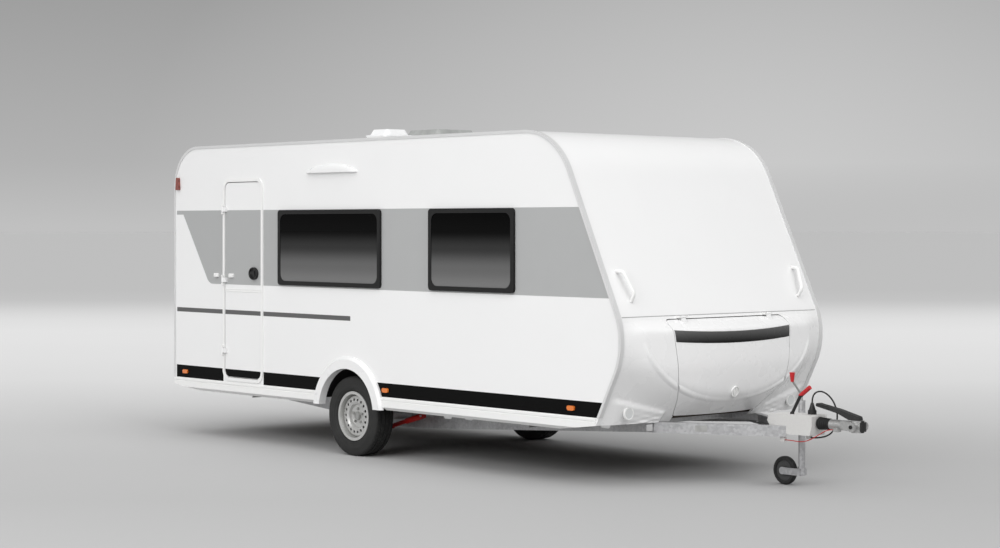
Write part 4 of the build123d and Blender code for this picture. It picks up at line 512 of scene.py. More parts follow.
TINTED_DOME_FROM_Y = -0.36
dome_acrylic, tree, shader, place = new_finish("dome_acrylic")
haze = spots(tree, place, 9, 3)
milky = cloudy(tree, haze, paint(232, 233, 234), grey(243))
tinted = cloudy(tree, haze, paint(150, 152, 150), paint(172, 174, 172))
side_of_roof = step_at(tree, axis_of(tree, place, "Y"), TINTED_DOME_FROM_Y)
feed(shader, {
    "Base Color": blended(tree, side_of_roof, milky, tinted), "Roughness": 0.16, "Coat Weight": 0.4,
    "Normal": relief(tree, haze, 0.1, 0.001),
})
print("acrylics made")

# %% [markdown]
# The crank, the handbrake and the coupling have a grip or a nose of another colour, and the jockey wheel has a
# plastic hub in a rubber tyre. Each is one solid. It could be parted into two pieces, but a mask along an axis, or
# by the distance from the hub, colours it without touching its mesh.

# %% Two-colour levers and the jockey wheel
WEAR = 0.2


def two_part_finish(name, low_colour, high_colour, axis, edge, rough, low_metal=0.0):
    """One colour below an edge along an axis, which may be metal, and another above it."""
    material, tree, shader, place = new_finish(name)
    wear = spots(tree, place, 70, 4)
    low = cloudy(tree, wear, darker(low_colour, WEAR), low_colour)
    high = cloudy(tree, wear, darker(high_colour, WEAR), high_colour)
    mask = step_at(tree, axis_of(tree, place, axis), edge)
    feed(shader, {
        "Base Color": blended(tree, mask, low, high), "Roughness": spread(tree, wear, rough, rough + 0.15),
        "Metallic": spread(tree, mask, low_metal, 0, 0, 1) if low_metal else 0.0,
        "Normal": relief(tree, wear, 0.2, 0.0003),
    })
    return material


BLACK, SIGNAL_RED = grey(28), paint(196, 34, 40)
STEEL, COUPLING_STEEL = paint(186, 186, 184), paint(196, 196, 195)
CRANK_GRIP_Z, HANDBRAKE_GRIP_Z = 0.735, 0.655
COUPLING_NOSE_X, LEVER_GRIP_X = axle_x + 4.262, axle_x + 3.99
crank_finish = two_part_finish("crank_finish", STEEL, SIGNAL_RED, "Z", CRANK_GRIP_Z, 0.30, low_metal=0.8)
handbrake_finish = two_part_finish("handbrake_finish", BLACK, SIGNAL_RED, "Z", HANDBRAKE_GRIP_Z, 0.40)
coupling_finish = two_part_finish(
    "coupling_finish", COUPLING_STEEL, BLACK, "X", COUPLING_NOSE_X, 0.28, low_metal=0.8,
)
lever_finish = two_part_finish("lever_finish", BLACK, grey(40), "X", LEVER_GRIP_X, 0.42)

JOCKEY_HUB_RADIUS = 0.072
jockey_tyre_finish, tree, shader, place = new_finish("jockey_tyre_finish")
hub_x, _, hub_z = middle_of("jockey_wheel")
hub = mapped(tree, place, (1, 0, 1), (-hub_x, 0, -hub_z))
radius = reckoned(tree, "ShaderNodeVectorMath", "LENGTH", hub)
wear = spots(tree, place, 60, 4)
rubber = cloudy(tree, wear, grey(24), grey(38))
plastic = cloudy(tree, wear, grey(60), grey(74))
outside_hub = step_at(tree, radius, JOCKEY_HUB_RADIUS)
feed(shader, {
    "Base Color": blended(tree, outside_hub, plastic, rubber), "Roughness": spread(tree, wear, 0.5, 0.75),
    "Normal": relief(tree, wear, 0.3, 0.0005),
})
print("two-part finishes made")

# %% [markdown]
# ## Dress the solids
# The CAD nodes keep their shape and only get their finish. A table of finish and nodes is easy to read through,
# and the last line proves that no node was forgotten.

# %% Finish for every CAD node
DRESS = [
    (white_sheet, "wall_right wall_left roof front_panel rear_panel entrance_door"),
    (white_moulding, "front_moulding locker_lid rear_bumper wheel_arch_trims awning_lamp"),
    (white_trim, "skirts door_frame grab_handles service_hatches rooflight_curbs hinges"),
    (rail_grey, "edge_rails"),
    (black_frame, "window_frames"),
    (smoked_acrylic, "window_panes"),
    (dome_acrylic, "rooflight_domes"),
    (floor_board, "floor locker_bulkhead"),
    (black_plastic, "wheel_boxes door_lock plug"),
    (lens_finish, "marker_lamps"),
    (rear_lens, "rear_lamps"),
    (galvanised, "chassis_rails a_frame_beams cross_members axle steady_brackets jockey_tube jockey_fork"),
    (zinc_steel, "steady_rear_right steady_rear_left steady_front_right steady_front_left"),
    (red_paint, "shock_absorbers"),
    (housing_paint, "overrun_housing"),
    (black_rubber, "bellows tyre_right tyre_left lead"),
    (coupling_finish, "coupling_head"),
    (lever_finish, "coupling_lever"),
    (handbrake_finish, "handbrake_lever"),
    (crank_finish, "jockey_crank"),
    (jockey_tyre_finish, "jockey_wheel"),
    (rim_lacquer, "rim_right rim_left"),
    (drum_iron, "drum_right drum_left"),
    (cable_finish, "breakaway_cable"),
]
dressed = set()
for finish, names in DRESS:
    for name in names.split():
        nodes[name].data.materials.clear()
        nodes[name].data.materials.append(finish)
        dressed.add(name)
print("dressed", len(dressed), "left bare", sorted(set(nodes) - dressed))

# %% [markdown]
# ## Modelling helpers
# New pieces are modelled as by hand. A primitive is added at its place, its transform is applied at once so that
# its vertices hold frame coordinates, and faces or edges are then picked by their place for the next operator.

# %% Begin a piece
FACING_SIDE, FACING_AHEAD = (QUARTER, 0, 0), (0, QUARTER, 0)


def start_fresh():
    """Leave edit mode and deselect everything."""
    if bpy.context.mode != "OBJECT":
        bpy.ops.object.mode_set(mode="OBJECT")
    bpy.ops.object.select_all(action="DESELECT")


def take_up(piece):
    """Make a piece the only selected one and the active one."""
    start_fresh()
    piece.select_set(True)
    bpy.context.view_layer.objects.active = piece


def settle():
    """Put the active object's place, turn and scale into its mesh."""
    bpy.ops.object.transform_apply(location=True, rotation=True, scale=True)
    return bpy.context.object


def block(place, size, turn=(0, 0, 0)):
    """A box of a given size at its place, in edit mode."""
    start_fresh()
    bpy.ops.mesh.primitive_cube_add(size=1, location=place, rotation=turn)
    bpy.context.object.scale = size
    settle()
    bpy.ops.object.mode_set(mode="EDIT")
    return bpy.context.object


def disc(place, radius, depth, corners, turn=FACING_SIDE):
    """A round block with a number of corners at its place, in edit mode."""
    start_fresh()
    bpy.ops.mesh.primitive_cylinder_add(
        vertices=corners, radius=radius, depth=depth, location=place, rotation=turn,
    )
    settle()
    bpy.ops.object.mode_set(mode="EDIT")
    return bpy.context.object


print("block and disc ready")

# %% Pick and shape
def pick(kind, test):
    """In edit mode, select the faces by middle and normal, or the edges by middle and run, that pass a test."""
    piece = bpy.context.object
    bpy.ops.mesh.select_mode(type=kind)
    bpy.ops.mesh.select_all(action="DESELECT")
    bpy.ops.object.mode_set(mode="OBJECT")
    mesh = piece.data
    if kind == "FACE":
        for face in mesh.polygons:
            face.select = test(face.center, face.normal)
    else:
        for edge in mesh.edges:
            a, b = (mesh.vertices[number].co for number in edge.vertices)
            edge.select = test((a + b) / 2, b - a)
    bpy.ops.object.mode_set(mode="EDIT")


def pick_facing(x, y, z):
    """Select the faces that look along a direction."""
    direction = Vector((x, y, z))
    pick("FACE", lambda middle, normal: normal.dot(direction) > 0.9)


def push(x, y, z):
    """Extrude the picked faces along a direction."""
    bpy.ops.mesh.extrude_region_move(TRANSFORM_OT_translate={"value": (x, y, z)})


def bevel(offset, segments):
    """Round the picked edges."""
    bpy.ops.mesh.bevel(offset=offset, segments=segments, affect="EDGES")


def outward():
    """Merge doubles and turn every face of the active mesh outward."""
    if bpy.context.mode != "EDIT_MESH":
        bpy.ops.object.mode_set(mode="EDIT")
    bpy.ops.mesh.select_all(action="SELECT")
    bpy.ops.mesh.remove_doubles(threshold=0.00001)
    bpy.ops.mesh.normals_make_consistent(inside=False)
    bpy.ops.object.mode_set(mode="OBJECT")


print("pick, push and bevel ready")

# %% Join, copy and keep
def joined(pieces):
    """Join pieces into the first of them."""
    take_up(pieces[0])
    for piece in pieces[1:]:
        piece.select_set(True)
    bpy.ops.object.join()
    return pieces[0]


def copied(name, piece, move):
    """A copy of a piece, with its mesh moved by a matrix."""
    copy = bpy.data.objects.new(name, piece.data.copy())
    copy.data.transform(move)
    bpy.context.scene.collection.objects.link(copy)
    return copy


def keep(name, body, finish, smooth=None):
    """Name the active object, give it its finish and let it ride on its body."""
    piece = bpy.context.object
    if bpy.context.mode != "OBJECT":
        bpy.ops.object.mode_set(mode="OBJECT")
    piece.name = name
    piece.data.name = name
    piece.data.materials.clear()
    piece.data.materials.append(finish)
    if smooth:
        bpy.ops.object.shade_smooth_by_angle(angle=math.radians(smooth))
    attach(piece, body)
    print(name, len(piece.data.polygons), "faces")
    return piece


print("joined, copied and keep ready")

# %% Modifiers and the skin
def apply_modifier(piece, kind, **settings):
    """Add a modifier, set it and apply it."""
    take_up(piece)
    modifier = piece.modifiers.new(kind.lower(), kind)
    for name, value in settings.items():
        setattr(modifier, name, value)
    bpy.ops.object.modifier_apply(modifier=modifier.name)


def cut_with(piece, cutter):
    """Take a cutter's shape away from a piece and remove the cutter."""
    apply_modifier(piece, "BOOLEAN", operation="DIFFERENCE", object=cutter, solver="EXACT")
    bpy.data.objects.remove(cutter)


def skin_at(piece, y, z):
    """Whether a ray from ahead of the nose meets a piece, and the point and slope of its skin there."""
    found, spot, slope, face = piece.ray_cast(Vector((frame_x(3600), y, z)), Vector((-1, 0, 0)))
    return found, spot, slope


print("modifiers and rays ready")

# %% [markdown]
# ## Films on the walls
# The grey window band, the thin dark stripe and the black lower band are adhesive film half a millimetre thick.
# They could be painted with a mask in the wall's material, but a real sheet keeps its edge crisp at any distance.
# Each film starts as a plane, is bisected along its slanted ends and extruded to its thickness, and the windows
# and the arch are cut out of it.

# %% One film, and what is cut from it
FILM, FILM_GAP = 0.0005, 0.00005
WALL_Y, LEAF_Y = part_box("wall_left")[1].y, 1.064
WINDOW_LOW, WINDOW_HIGH, WINDOW_SPARE, WINDOW_CORNER = 1.334, 1.948, 0.002, 0.03
ARCH_Z, ARCH_RADIUS = 0.340, 0.448
CUT_DEPTH = 0.02


def wall_film(name, body, finish, side, x0, x1, z0, z1, slants=(), skin=WALL_Y):
    """A film on a wall, on the right at side -1 and on the left at side 1, trimmed by slanted lines."""
    start_fresh()
    bpy.ops.mesh.primitive_plane_add(
        size=1, rotation=FACING_SIDE, location=((x0 + x1) / 2, side * (skin + FILM_GAP), (z0 + z1) / 2),
    )
    bpy.context.object.scale = (x1 - x0, z1 - z0, 1)
    settle()
    bpy.ops.object.mode_set(mode="EDIT")
    for point, away in slants:
        bpy.ops.mesh.select_all(action="SELECT")
        bpy.ops.mesh.bisect(
            plane_co=(point[0], side * skin, point[1]), plane_no=(away[0], 0, away[1]), clear_outer=True,
        )
    bpy.ops.mesh.select_all(action="SELECT")
    push(0, side * FILM, 0)
    outward()
    return keep(name, body, finish)


def window_cutter(centre, width, side):
    """The outline of a window frame, a little larger, to cut from a film."""
    tall = WINDOW_HIGH - WINDOW_LOW
    cutter = block(
        (centre, side * WALL_Y, (WINDOW_LOW + WINDOW_HIGH) / 2),
        (width + WINDOW_SPARE, CUT_DEPTH, tall + WINDOW_SPARE),
    )
    pick("EDGE", lambda middle, run: abs(run.y) > CUT_DEPTH / 2)
    bevel(WINDOW_CORNER, 6)
    return cutter


def arch_cutter(side):
    """The outline of the wheel-arch trim, to cut from a film."""
    return disc((axle_x, side * WALL_Y, ARCH_Z), ARCH_RADIUS, CUT_DEPTH, 128)


def round_corners(film, below, before, offset, segments):
    """Round the corners of a film that lie below a height and behind a place along the body."""
    take_up(film)
    bpy.ops.object.mode_set(mode="EDIT")
    pick("EDGE", lambda middle, run: abs(run.y) > FILM / 2 and middle.z < below and middle.x < before)
    bevel(offset, segments)
    bpy.ops.object.mode_set(mode="OBJECT")


print("film helpers ready")

# %% [markdown]
# The grey band runs from a slanted end behind the door to the sloping nose, with a thin tail to the rear corner. It
# is cut at the door, because the part on the leaf swings with it. On the left wall it runs through in one piece.

# %% The grey window band
NEAR = 0.001
BAND_LOW, BAND_HIGH, TAIL_LOW = 1.322, 1.951, 1.917
BAND_CORNER = 0.05
FRONT_LEAN, NOSE_X, NOSE_Z, NOSE_TOP, RAIL_ROOM = 475, 3090, 1.012, 1.95, 0.020
front_x = frame_x(NOSE_X - FRONT_LEAN * (NOSE_TOP - NOSE_Z)) - RAIL_ROOM
front_edge = ((front_x, NOSE_TOP), (1, FRONT_LEAN / 1000))
WALL_REAR, BAND_REAR, BAND_FRONT = frame_x(-2476), frame_x(-2372), frame_x(2950)
SLANT_DROP, SLANT_RUN = TAIL_LOW - 1.326, 0.399
rear_slant = ((BAND_REAR, TAIL_LOW), (-SLANT_DROP, -SLANT_RUN))
WINDOWS = ((frame_x(-260), 1.352), (frame_x(1483), 0.961))  # middle and width of each
DOOR_REAR, DOOR_FRONT = frame_x(-1752), frame_x(-1162)
LEAF_REAR, LEAF_FRONT = frame_x(-1716.5), frame_x(-1197.5)


def round_rear_corner(film):
    """Round the lower corner where the band's slanted end meets its lower edge."""
    low = BAND_LOW + NEAR
    rear = min(vertex.co.x for vertex in film.data.vertices if vertex.co.z < low)
    round_corners(film, low, rear + NEAR, BAND_CORNER, 6)


tail = (WALL_REAR, BAND_REAR + NEAR, TAIL_LOW, BAND_HIGH)
band = (BAND_LOW, BAND_HIGH)
wall_film("band_tail_right", "caravan_body", grey_film, -1, *tail)
wall_film("band_tail_left", "caravan_body", grey_film, 1, *tail)
round_rear_corner(
    wall_film("band_rear_right", "caravan_body", grey_film, -1, BAND_REAR, DOOR_REAR, *band, [rear_slant])
)
wall_film("band_door", "entrance_door", grey_film, -1, LEAF_REAR, LEAF_FRONT, *band, skin=LEAF_Y)
for side, name, start, slants in (
    (-1, "band_front_right", DOOR_FRONT, [front_edge]),
    (1, "band_left", BAND_REAR, [front_edge, rear_slant]),
):
    film = wall_film(name, "caravan_body", grey_film, side, start, BAND_FRONT, *band, slants)
    if rear_slant in slants:
        round_rear_corner(film)
    for centre, width in WINDOWS:
        cut_with(film, window_cutter(centre, width, side))

# %% [markdown]
# The dark stripe and the black lower band are laid in the same way. The lower band ends on the wheel arch. Its arc
# could be drawn point by point, but a disc of the arch's own radius cut from the film is truer and shorter.

# %% The thin stripe and the black lower band
STRIPE_LOW, STRIPE_HIGH, LOWER_LOW, LOWER_HIGH = 1.069, 1.106, 0.4955, 0.603
STRIPE_REAR, STRIPE_FRONT, LOWER_FRONT = frame_x(-2471), frame_x(19), frame_x(2890)
TOE_X, TOE_ROOM, TOE_LEAN = frame_x(2879), 0.022, 0.519
stripe, lower = (STRIPE_LOW, STRIPE_HIGH), (LOWER_LOW, LOWER_HIGH)
toe_edge = ((TOE_X - TOE_ROOM, LOWER_HIGH), (1, -TOE_LEAN))
wall_film("stripe_rear_right", "caravan_body", dark_film, -1, STRIPE_REAR, DOOR_REAR, *stripe)
wall_film("stripe_door", "entrance_door", dark_film, -1, LEAF_REAR, LEAF_FRONT, *stripe, skin=LEAF_Y)
wall_film("stripe_front_right", "caravan_body", dark_film, -1, DOOR_FRONT, STRIPE_FRONT, *stripe)
wall_film("stripe_left", "caravan_body", dark_film, 1, STRIPE_REAR, STRIPE_FRONT, *stripe)

wall_film("lower_rear_right", "caravan_body", black_film, -1, WALL_REAR, DOOR_REAR, *lower)
for side, name, start, end, slants in (
    (-1, "lower_middle_right", DOOR_FRONT, axle_x, []),
    (-1, "lower_front_right", axle_x, LOWER_FRONT, [toe_edge]),
    (1, "lower_rear_left", WALL_REAR, axle_x, []),
    (1, "lower_front_left", axle_x, LOWER_FRONT, [toe_edge]),
):
    film = wall_film(name, "caravan_body", black_film, side, start, end, *lower, slants)
    cut_with(film, arch_cutter(side))

# %% [markdown]
# The foot of the door carries the black band too. Its lower corners follow the leaf's rounded corners, and a bevel
# of the same radius gives them without a cutter.

# %% Black band on the foot of the door
FOOT_LOW, LEAF_CORNER = 0.5405, 0.055
foot = (FOOT_LOW, LOWER_HIGH)
film = wall_film("lower_door", "entrance_door", black_film, -1, LEAF_REAR, LEAF_FRONT, *foot, skin=LEAF_Y)
round_corners(film, FOOT_LOW + NEAR, DOOR_FRONT, LEAF_CORNER, 8)
print("door foot", len(film.data.polygons), "faces")

# %% [markdown]
# ## Strip across the locker lid
# A dark band runs across the lid and sags a little in the middle. The lid is double curved, so a flat film would
# cut through it. A fine grid is bent to the sag, shrink-wrapped onto the lid along x, and given its thickness.

# %% Lid strip
STRIP_LOW, STRIP_HIGH, SAG = 1.014, 1.096, 0.022
STRIP_GAP, STRIP_THICK, STRIP_MARGIN = 0.0004, 0.0008, 0.006
LID_LOW, LID_TALL, LID_HALF, LID_FLARE = 0.714, 0.45, 0.565, 0.055
start_fresh()
bpy.ops.mesh.primitive_grid_add(
    x_subdivisions=6, y_subdivisions=60, size=1, rotation=FACING_AHEAD,
    location=(frame_x(3400), 0, (STRIP_LOW + STRIP_HIGH) / 2),
)
strip = bpy.context.object
strip.scale = (STRIP_HIGH - STRIP_LOW, 1, 1)
settle()
for vertex in strip.data.vertices:
    lid_half = LID_HALF + LID_FLARE * (vertex.co.z - LID_LOW) / LID_TALL - STRIP_MARGIN
    vertex.co.z -= SAG * (1 - (2 * vertex.co.y) ** 2)
    vertex.co.y *= 2 * lid_half
apply_modifier(
    strip, "SHRINKWRAP", target=nodes["locker_lid"], wrap_method="PROJECT", use_project_x=True,
    use_project_y=False, use_project_z=False, use_positive_direction=False, use_negative_direction=True,
    offset=STRIP_GAP,
)
apply_modifier(strip, "SOLIDIFY", thickness=STRIP_THICK, offset=1)
outward()
lid_film_painted_shade, tree, shader, place = new_finish("lid_film_painted_shade")
# The strip's colour is painted shading: lighter at the top of the curved lid, near black at its foot.
rise = spread(tree, axis_of(tree, place, "Z"), 0, 1, STRIP_LOW - SAG, STRIP_HIGH)
strip_painted_shade = shades(tree, rise, [(0.10, grey(14)), (0.38, grey(58)), (1.0, grey(100))])
sheen = spread(tree, spots(tree, place, 7.0), 0.24, 0.32)
feed(shader, {"Base Color": strip_painted_shade, "Roughness": sheen, "Specular IOR Level": 0.2})
keep("lid_strip", "locker_lid", lid_film_painted_shade, smooth=40)

# %% [markdown]
# ## Ridge round the nose
# A soft ridge runs in a wide U over the moulding and across the lid, and catches the light. The solids hold the
# swell inside it. It could be pulled out of the moulding's own mesh, but that mesh stays as it came. So a grid is
# laid along the U, each point is dropped onto the skin by a ray cast, or moved to the nearest skin where the ray
# misses, and raised by a rounded profile. It is made in three runs, because the lid opens.

# %% Ridge in three runs
RIDGE_HALF, RIDGE_TOP, RIDGE_DEPTH = 0.880, 1.100, 0.520
RIDGE_WIDTH, RIDGE_RISE, RIDGE_SINK, RIDGE_THICK = 0.026, 0.0095, 0.0004, 0.003
RIDGE_START, SURROUND_END, LID_START, LID_EDGE_LEAN = 6, 49.8, 51.6, 0.044


def lay_ridge(name, body, skin, start, end, lean_start, lean_end, strength):
    """A run of the ridge between two turns round the U, in degrees, its ends leaning along the lid's edge."""
    start_fresh()
    bpy.ops.mesh.primitive_grid_add(x_subdivisions=10, y_subdivisions=64, size=1)
    run = bpy.context.object
    missed = 0
    for vertex in run.data.vertices:
        across, along = 2 * vertex.co.x, vertex.co.y + 0.5
        turn = math.radians(start + (end - start) * along)
        turn += across * (lean_start * (1 - along) + lean_end * along)
        outside = Vector((RIDGE_DEPTH * math.cos(turn), -RIDGE_HALF * math.sin(turn))).normalized()
        y = -RIDGE_HALF * math.cos(turn) - outside.x * RIDGE_WIDTH * across
        z = RIDGE_TOP - RIDGE_DEPTH * math.sin(turn) + outside.y * RIDGE_WIDTH * across
        found, spot, slope = skin_at(skin, y, z)
        if not found:
            found, spot, slope, face = skin.closest_point_on_mesh(Vector((frame_x(3100), y, z)))
            missed += 1
        rise = RIDGE_RISE * strength(along) * math.cos(math.pi / 2 * across) ** 2 - RIDGE_SINK
        vertex.co = spot + slope * rise
    apply_modifier(run, "SOLIDIFY", thickness=RIDGE_THICK, offset=-1)
    outward()
    print(name, "points off the skin", missed)
    keep(name, body, white_moulding, smooth=60)


def fade_in(share):
    """An S-shaped rise over the first third of a run."""
    share = min(1, 3 * share)
    return share * share * (3 - 2 * share)


def fade_out(share):
    """An S-shaped fall over the last third of a run."""
    return fade_in(1 - share)


def low_in_middle(share):
    """Full at both ends of a run and a quarter in its middle."""
    return 0.25 + 0.75 * (2 * share - 1) ** 2


surround, lid, lean = nodes["front_moulding"], nodes["locker_lid"], LID_EDGE_LEAN
lay_ridge("ridge_right", "caravan_body", surround, RIDGE_START, SURROUND_END, 0, lean, fade_in)
lay_ridge("ridge_left", "caravan_body", surround, 180 - SURROUND_END, 180 - RIDGE_START, -lean, 0, fade_out)
lay_ridge("ridge_lid", "locker_lid", lid, LID_START, 180 - LID_START, lean, -lean, low_in_middle)

# %% [markdown]
# ## Lock on the lid
# The lid is held by one round lock set into the moulding. A ray cast against the lid finds the skin and its slope,
# so the rosette sits on the curve. A Boolean could sink the dish, but a disc that is inset and pushed in keeps
# clean faces for the bevel. A bar to grip lies across it.

# %% Lid lock
LOCK_Z, LOCK_PROUD = 0.643, 0.004
LOCK_RADIUS, LOCK_DEPTH, LOCK_RIM, LOCK_LEDGE = 0.040, 0.012, 0.006, 0.016
LOCK_DISH, LOCK_BOSS = 0.007, 0.005
LOCK_BAR, LOCK_BAR_Z = (0.013, 0.060, 0.012), 0.003
rosette = disc((0, 0, 0), LOCK_RADIUS, LOCK_DEPTH, 48, turn=(0, 0, 0))
pick_facing(0, 0, 1)
bpy.ops.mesh.inset(thickness=LOCK_RIM)
push(0, 0, -LOCK_DISH)
bpy.ops.mesh.inset(thickness=LOCK_LEDGE)
push(0, 0, LOCK_BOSS)
pick("EDGE", lambda middle, run: middle.z > LOCK_DEPTH / 2 - 0.0005)
bevel(0.0015, 2)
bar = block((0, 0, LOCK_BAR_Z), LOCK_BAR)
bpy.ops.mesh.select_all(action="SELECT")
bevel(0.003, 3)
lock = joined([rosette, bar])
found, spot, slope = skin_at(lid, 0, LOCK_Z)
lock.rotation_euler = slope.to_track_quat("Z", "Y").to_euler()
lock.location = spot + slope * LOCK_PROUD
settle()
keep("lid_lock", "locker_lid", white_trim, smooth=35)

# %% [markdown]
# ## Tyres with road tread
# The solid tyre is a plain ring. Here its section is drawn on a circle of vertices with three grooves and sidewall
# ribs, spun about the axle, and the tread blocks are parted by insetting every other face of the ribs. Bumps in the
# rubber's material would be quicker, but they would be lost in the outline and in an exported mesh.

# %% One tyre, spun and copied
HALF_SECTION = [
    # radius, distance from the middle of the tyre
    (0.1785, 0.0690), (0.1985, 0.0692), (0.2040, 0.0790), (0.2190, 0.0892), (0.2230, 0.0898),
    (0.2260, 0.0928), (0.2420, 0.0962), (0.2500, 0.0970), (0.2600, 0.0968), (0.2640, 0.0950),
    (0.2900, 0.0910), (0.3030, 0.0855), (0.3105, 0.0795), (0.3140, 0.0710), (0.3145, 0.0460),
    (0.3070, 0.0445), (0.3070, 0.0365), (0.3145, 0.0350), (0.3145, 0.0050), (0.3070, 0.0038),
]
TREAD_STEPS, TREAD_RADIUS = 132, 0.3125
TREAD_RIBS = ((0.046, 0.071, 0), (0.005, 0.035, 1))
TREAD_MARGIN, TREAD_SLOPE, TREAD_DEPTH = 0.0045, 0.0006, 0.0055
section = HALF_SECTION + [(radius, -out) for radius, out in reversed(HALF_SECTION)]
start_fresh()
bpy.ops.mesh.primitive_circle_add(vertices=len(section))
tyre = bpy.context.object
for vertex, (radius, out) in zip(tyre.data.vertices, section):
    vertex.co = (axle_x, wheel_y - out, axle_z + radius)
bpy.ops.object.mode_set(mode="EDIT")
bpy.ops.mesh.select_all(action="SELECT")
bpy.ops.mesh.spin(steps=TREAD_STEPS, angle=math.tau, center=(axle_x, 0, axle_z), axis=(0, 1, 0))
outward()


def tread_block(middle, low, high, shift):
    """Every other face of a rib of the tread, between two distances from the tyre's middle."""
    up, ahead = middle.z - axle_z, middle.x - axle_x
    on_rib = math.hypot(up, ahead) > TREAD_RADIUS and low < abs(middle.y - wheel_y) < high
    turn = math.atan2(ahead, up) / math.tau * TREAD_STEPS
    return on_rib and int(turn + TREAD_STEPS + shift) % 2 == 0


bpy.ops.object.mode_set(mode="EDIT")
for low, high, shift in TREAD_RIBS:
    pick("FACE", lambda middle, normal: tread_block(middle, low, high, shift))
    bpy.ops.mesh.inset(thickness=TREAD_MARGIN, depth=0, use_individual=True)
    bpy.ops.mesh.inset(thickness=TREAD_SLOPE, depth=-TREAD_DEPTH, use_individual=True)

tyre_rubber, tree, shader, place = new_finish("tyre_rubber")
dust = spots(tree, place, 22, 5)
feed(shader, {
    "Base Color": cloudy(tree, dust, grey(26), paint(44, 44, 43)), "Roughness": spread(tree, dust, 0.62, 0.82),
    "Normal": relief(tree, spots(tree, place, 420, 2), 0.3, 0.0004),
})
keep("road_tyre_right", "wheel_right", tyre_rubber, smooth=32)
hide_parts("tyre_right")

tyre_left = copied("road_tyre_left", tyre, Matrix.Translation((0, -2 * wheel_y, 0)))
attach(tyre_left, "wheel_left")
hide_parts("tyre_left")
print("tyres", len(tyre.data.polygons), "faces each")

# %% [markdown]
# ## Wheel bolts and hub cap
# Five hexagon bolts with a domed head hold each steel wheel, round a small cap. One bolt is modelled, copied round
# the axle and joined, and the set is turned half round about the upright axis for the other wheel. A mirrored copy
# would do as well, but its faces would have to be turned outward again.

# %% Bolts and cap
BOLTS, BOLT_CIRCLE, BOLT_RADIUS, BOLT_HEAD = 5, 0.056, 0.0115, 0.012
CAP_RADIUS, CAP_DEPTH, HUB_OUT = 0.033, 0.016, 0.024
hub_y = wheel_y - HUB_OUT


def stepped_head(*steps):
    """Inset the right-hand face of a head and push it outward, for each pair of an inset and a push."""
    pick_facing(0, -1, 0)
    for thickness, out in steps:
        bpy.ops.mesh.inset(thickness=thickness)
        push(0, -out, 0)


bolt = disc((axle_x, hub_y - BOLT_HEAD / 2, axle_z + BOLT_CIRCLE), BOLT_RADIUS, BOLT_HEAD, 6)
stepped_head((0.0018, 0.0035), (0.003, 0.0015))
bpy.ops.object.mode_set(mode="OBJECT")
hub_centre = Matrix.Translation((axle_x, 0, axle_z))
bolts = [bolt]
for number in range(1, BOLTS):
    turn = Matrix.Rotation(number * math.tau / BOLTS, 4, "Y")
    bolts.append(copied("bolt", bolt, hub_centre @ turn @ hub_centre.inverted()))
hub_cap = disc((axle_x, hub_y - CAP_DEPTH / 2, axle_z), CAP_RADIUS, CAP_DEPTH, 40)
stepped_head((0.004, 0.004), (0.008, -0.002))
joined([hub_cap, *bolts])
keep("wheel_bolts_right", "wheel_right", zinc_steel, smooth=30)
axle_line = Matrix.Translation((axle_x, 0, 0))
half_turn = axle_line @ Matrix.Rotation(math.pi, 4, "Z") @ axle_line.inverted()
bolts_left = copied("wheel_bolts_left", hub_cap, half_turn)
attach(bolts_left, "wheel_left")

# %% [markdown]
# ## Fittings on the door
# A white double bead crosses the door where its two halves meet, and a retaining catch sits on the door and on the
# wall behind it, so that the open door holds back. Each could be a profile swept along the door, but a cube that is
# inset or bevelled to its shape needs fewer steps.

# %% Door bead and catches
BEAD_Z, BEAD_TALL, BEAD_PROUD, BEAD_EDGE, BEAD_HOLLOW = 1.2745, 0.026, 0.003, 0.007, 0.0022
CATCH_Z, CATCH_SIZE, CATCH_CORNER, CATCH_SLOT = 1.397, (0.058, 0.020, 0.034), 0.007, 0.010
block(
    ((LEAF_REAR + LEAF_FRONT) / 2, -LEAF_Y - BEAD_PROUD / 2, BEAD_Z),
    (LEAF_FRONT - LEAF_REAR, BEAD_PROUD, BEAD_TALL),
)
stepped_head((BEAD_EDGE, -BEAD_HOLLOW))
pick("EDGE", lambda middle, run: middle.y < -LEAF_Y - BEAD_PROUD + 0.0001)
bevel(0.001, 2)
keep("door_bead", "entrance_door", white_trim, smooth=35)


def catch(name, body, x, skin):
    """A retaining catch: a rounded block with a slot under its nose."""
    half = CATCH_SIZE[1] / 2
    block((x, -skin - half, CATCH_Z), CATCH_SIZE)
    pick("EDGE", lambda middle, run: middle.y < -skin - half + 0.001 or abs(run.y) > half)
    bevel(CATCH_CORNER, 3)
    pick_facing(0, 0, -1)
    bpy.ops.mesh.inset(thickness=0.003)
    push(0, 0, CATCH_SLOT)
    keep(name, body, white_trim, smooth=35)


catch("catch_on_wall", "caravan_body", frame_x(-1848), WALL_Y)
catch("catch_on_door", "entrance_door", frame_x(-1619), LEAF_Y)

# %% [markdown]
# ## Door lock
# The lock is a black dish let into a rounded plate, with a pull paddle across it and a key barrel beside the
# paddle. Its plain solid gives the size. A cylinder is squashed to that outline, its face is inset and sunk for
# the dish, and the paddle and the barrel are bevelled blocks joined to it.

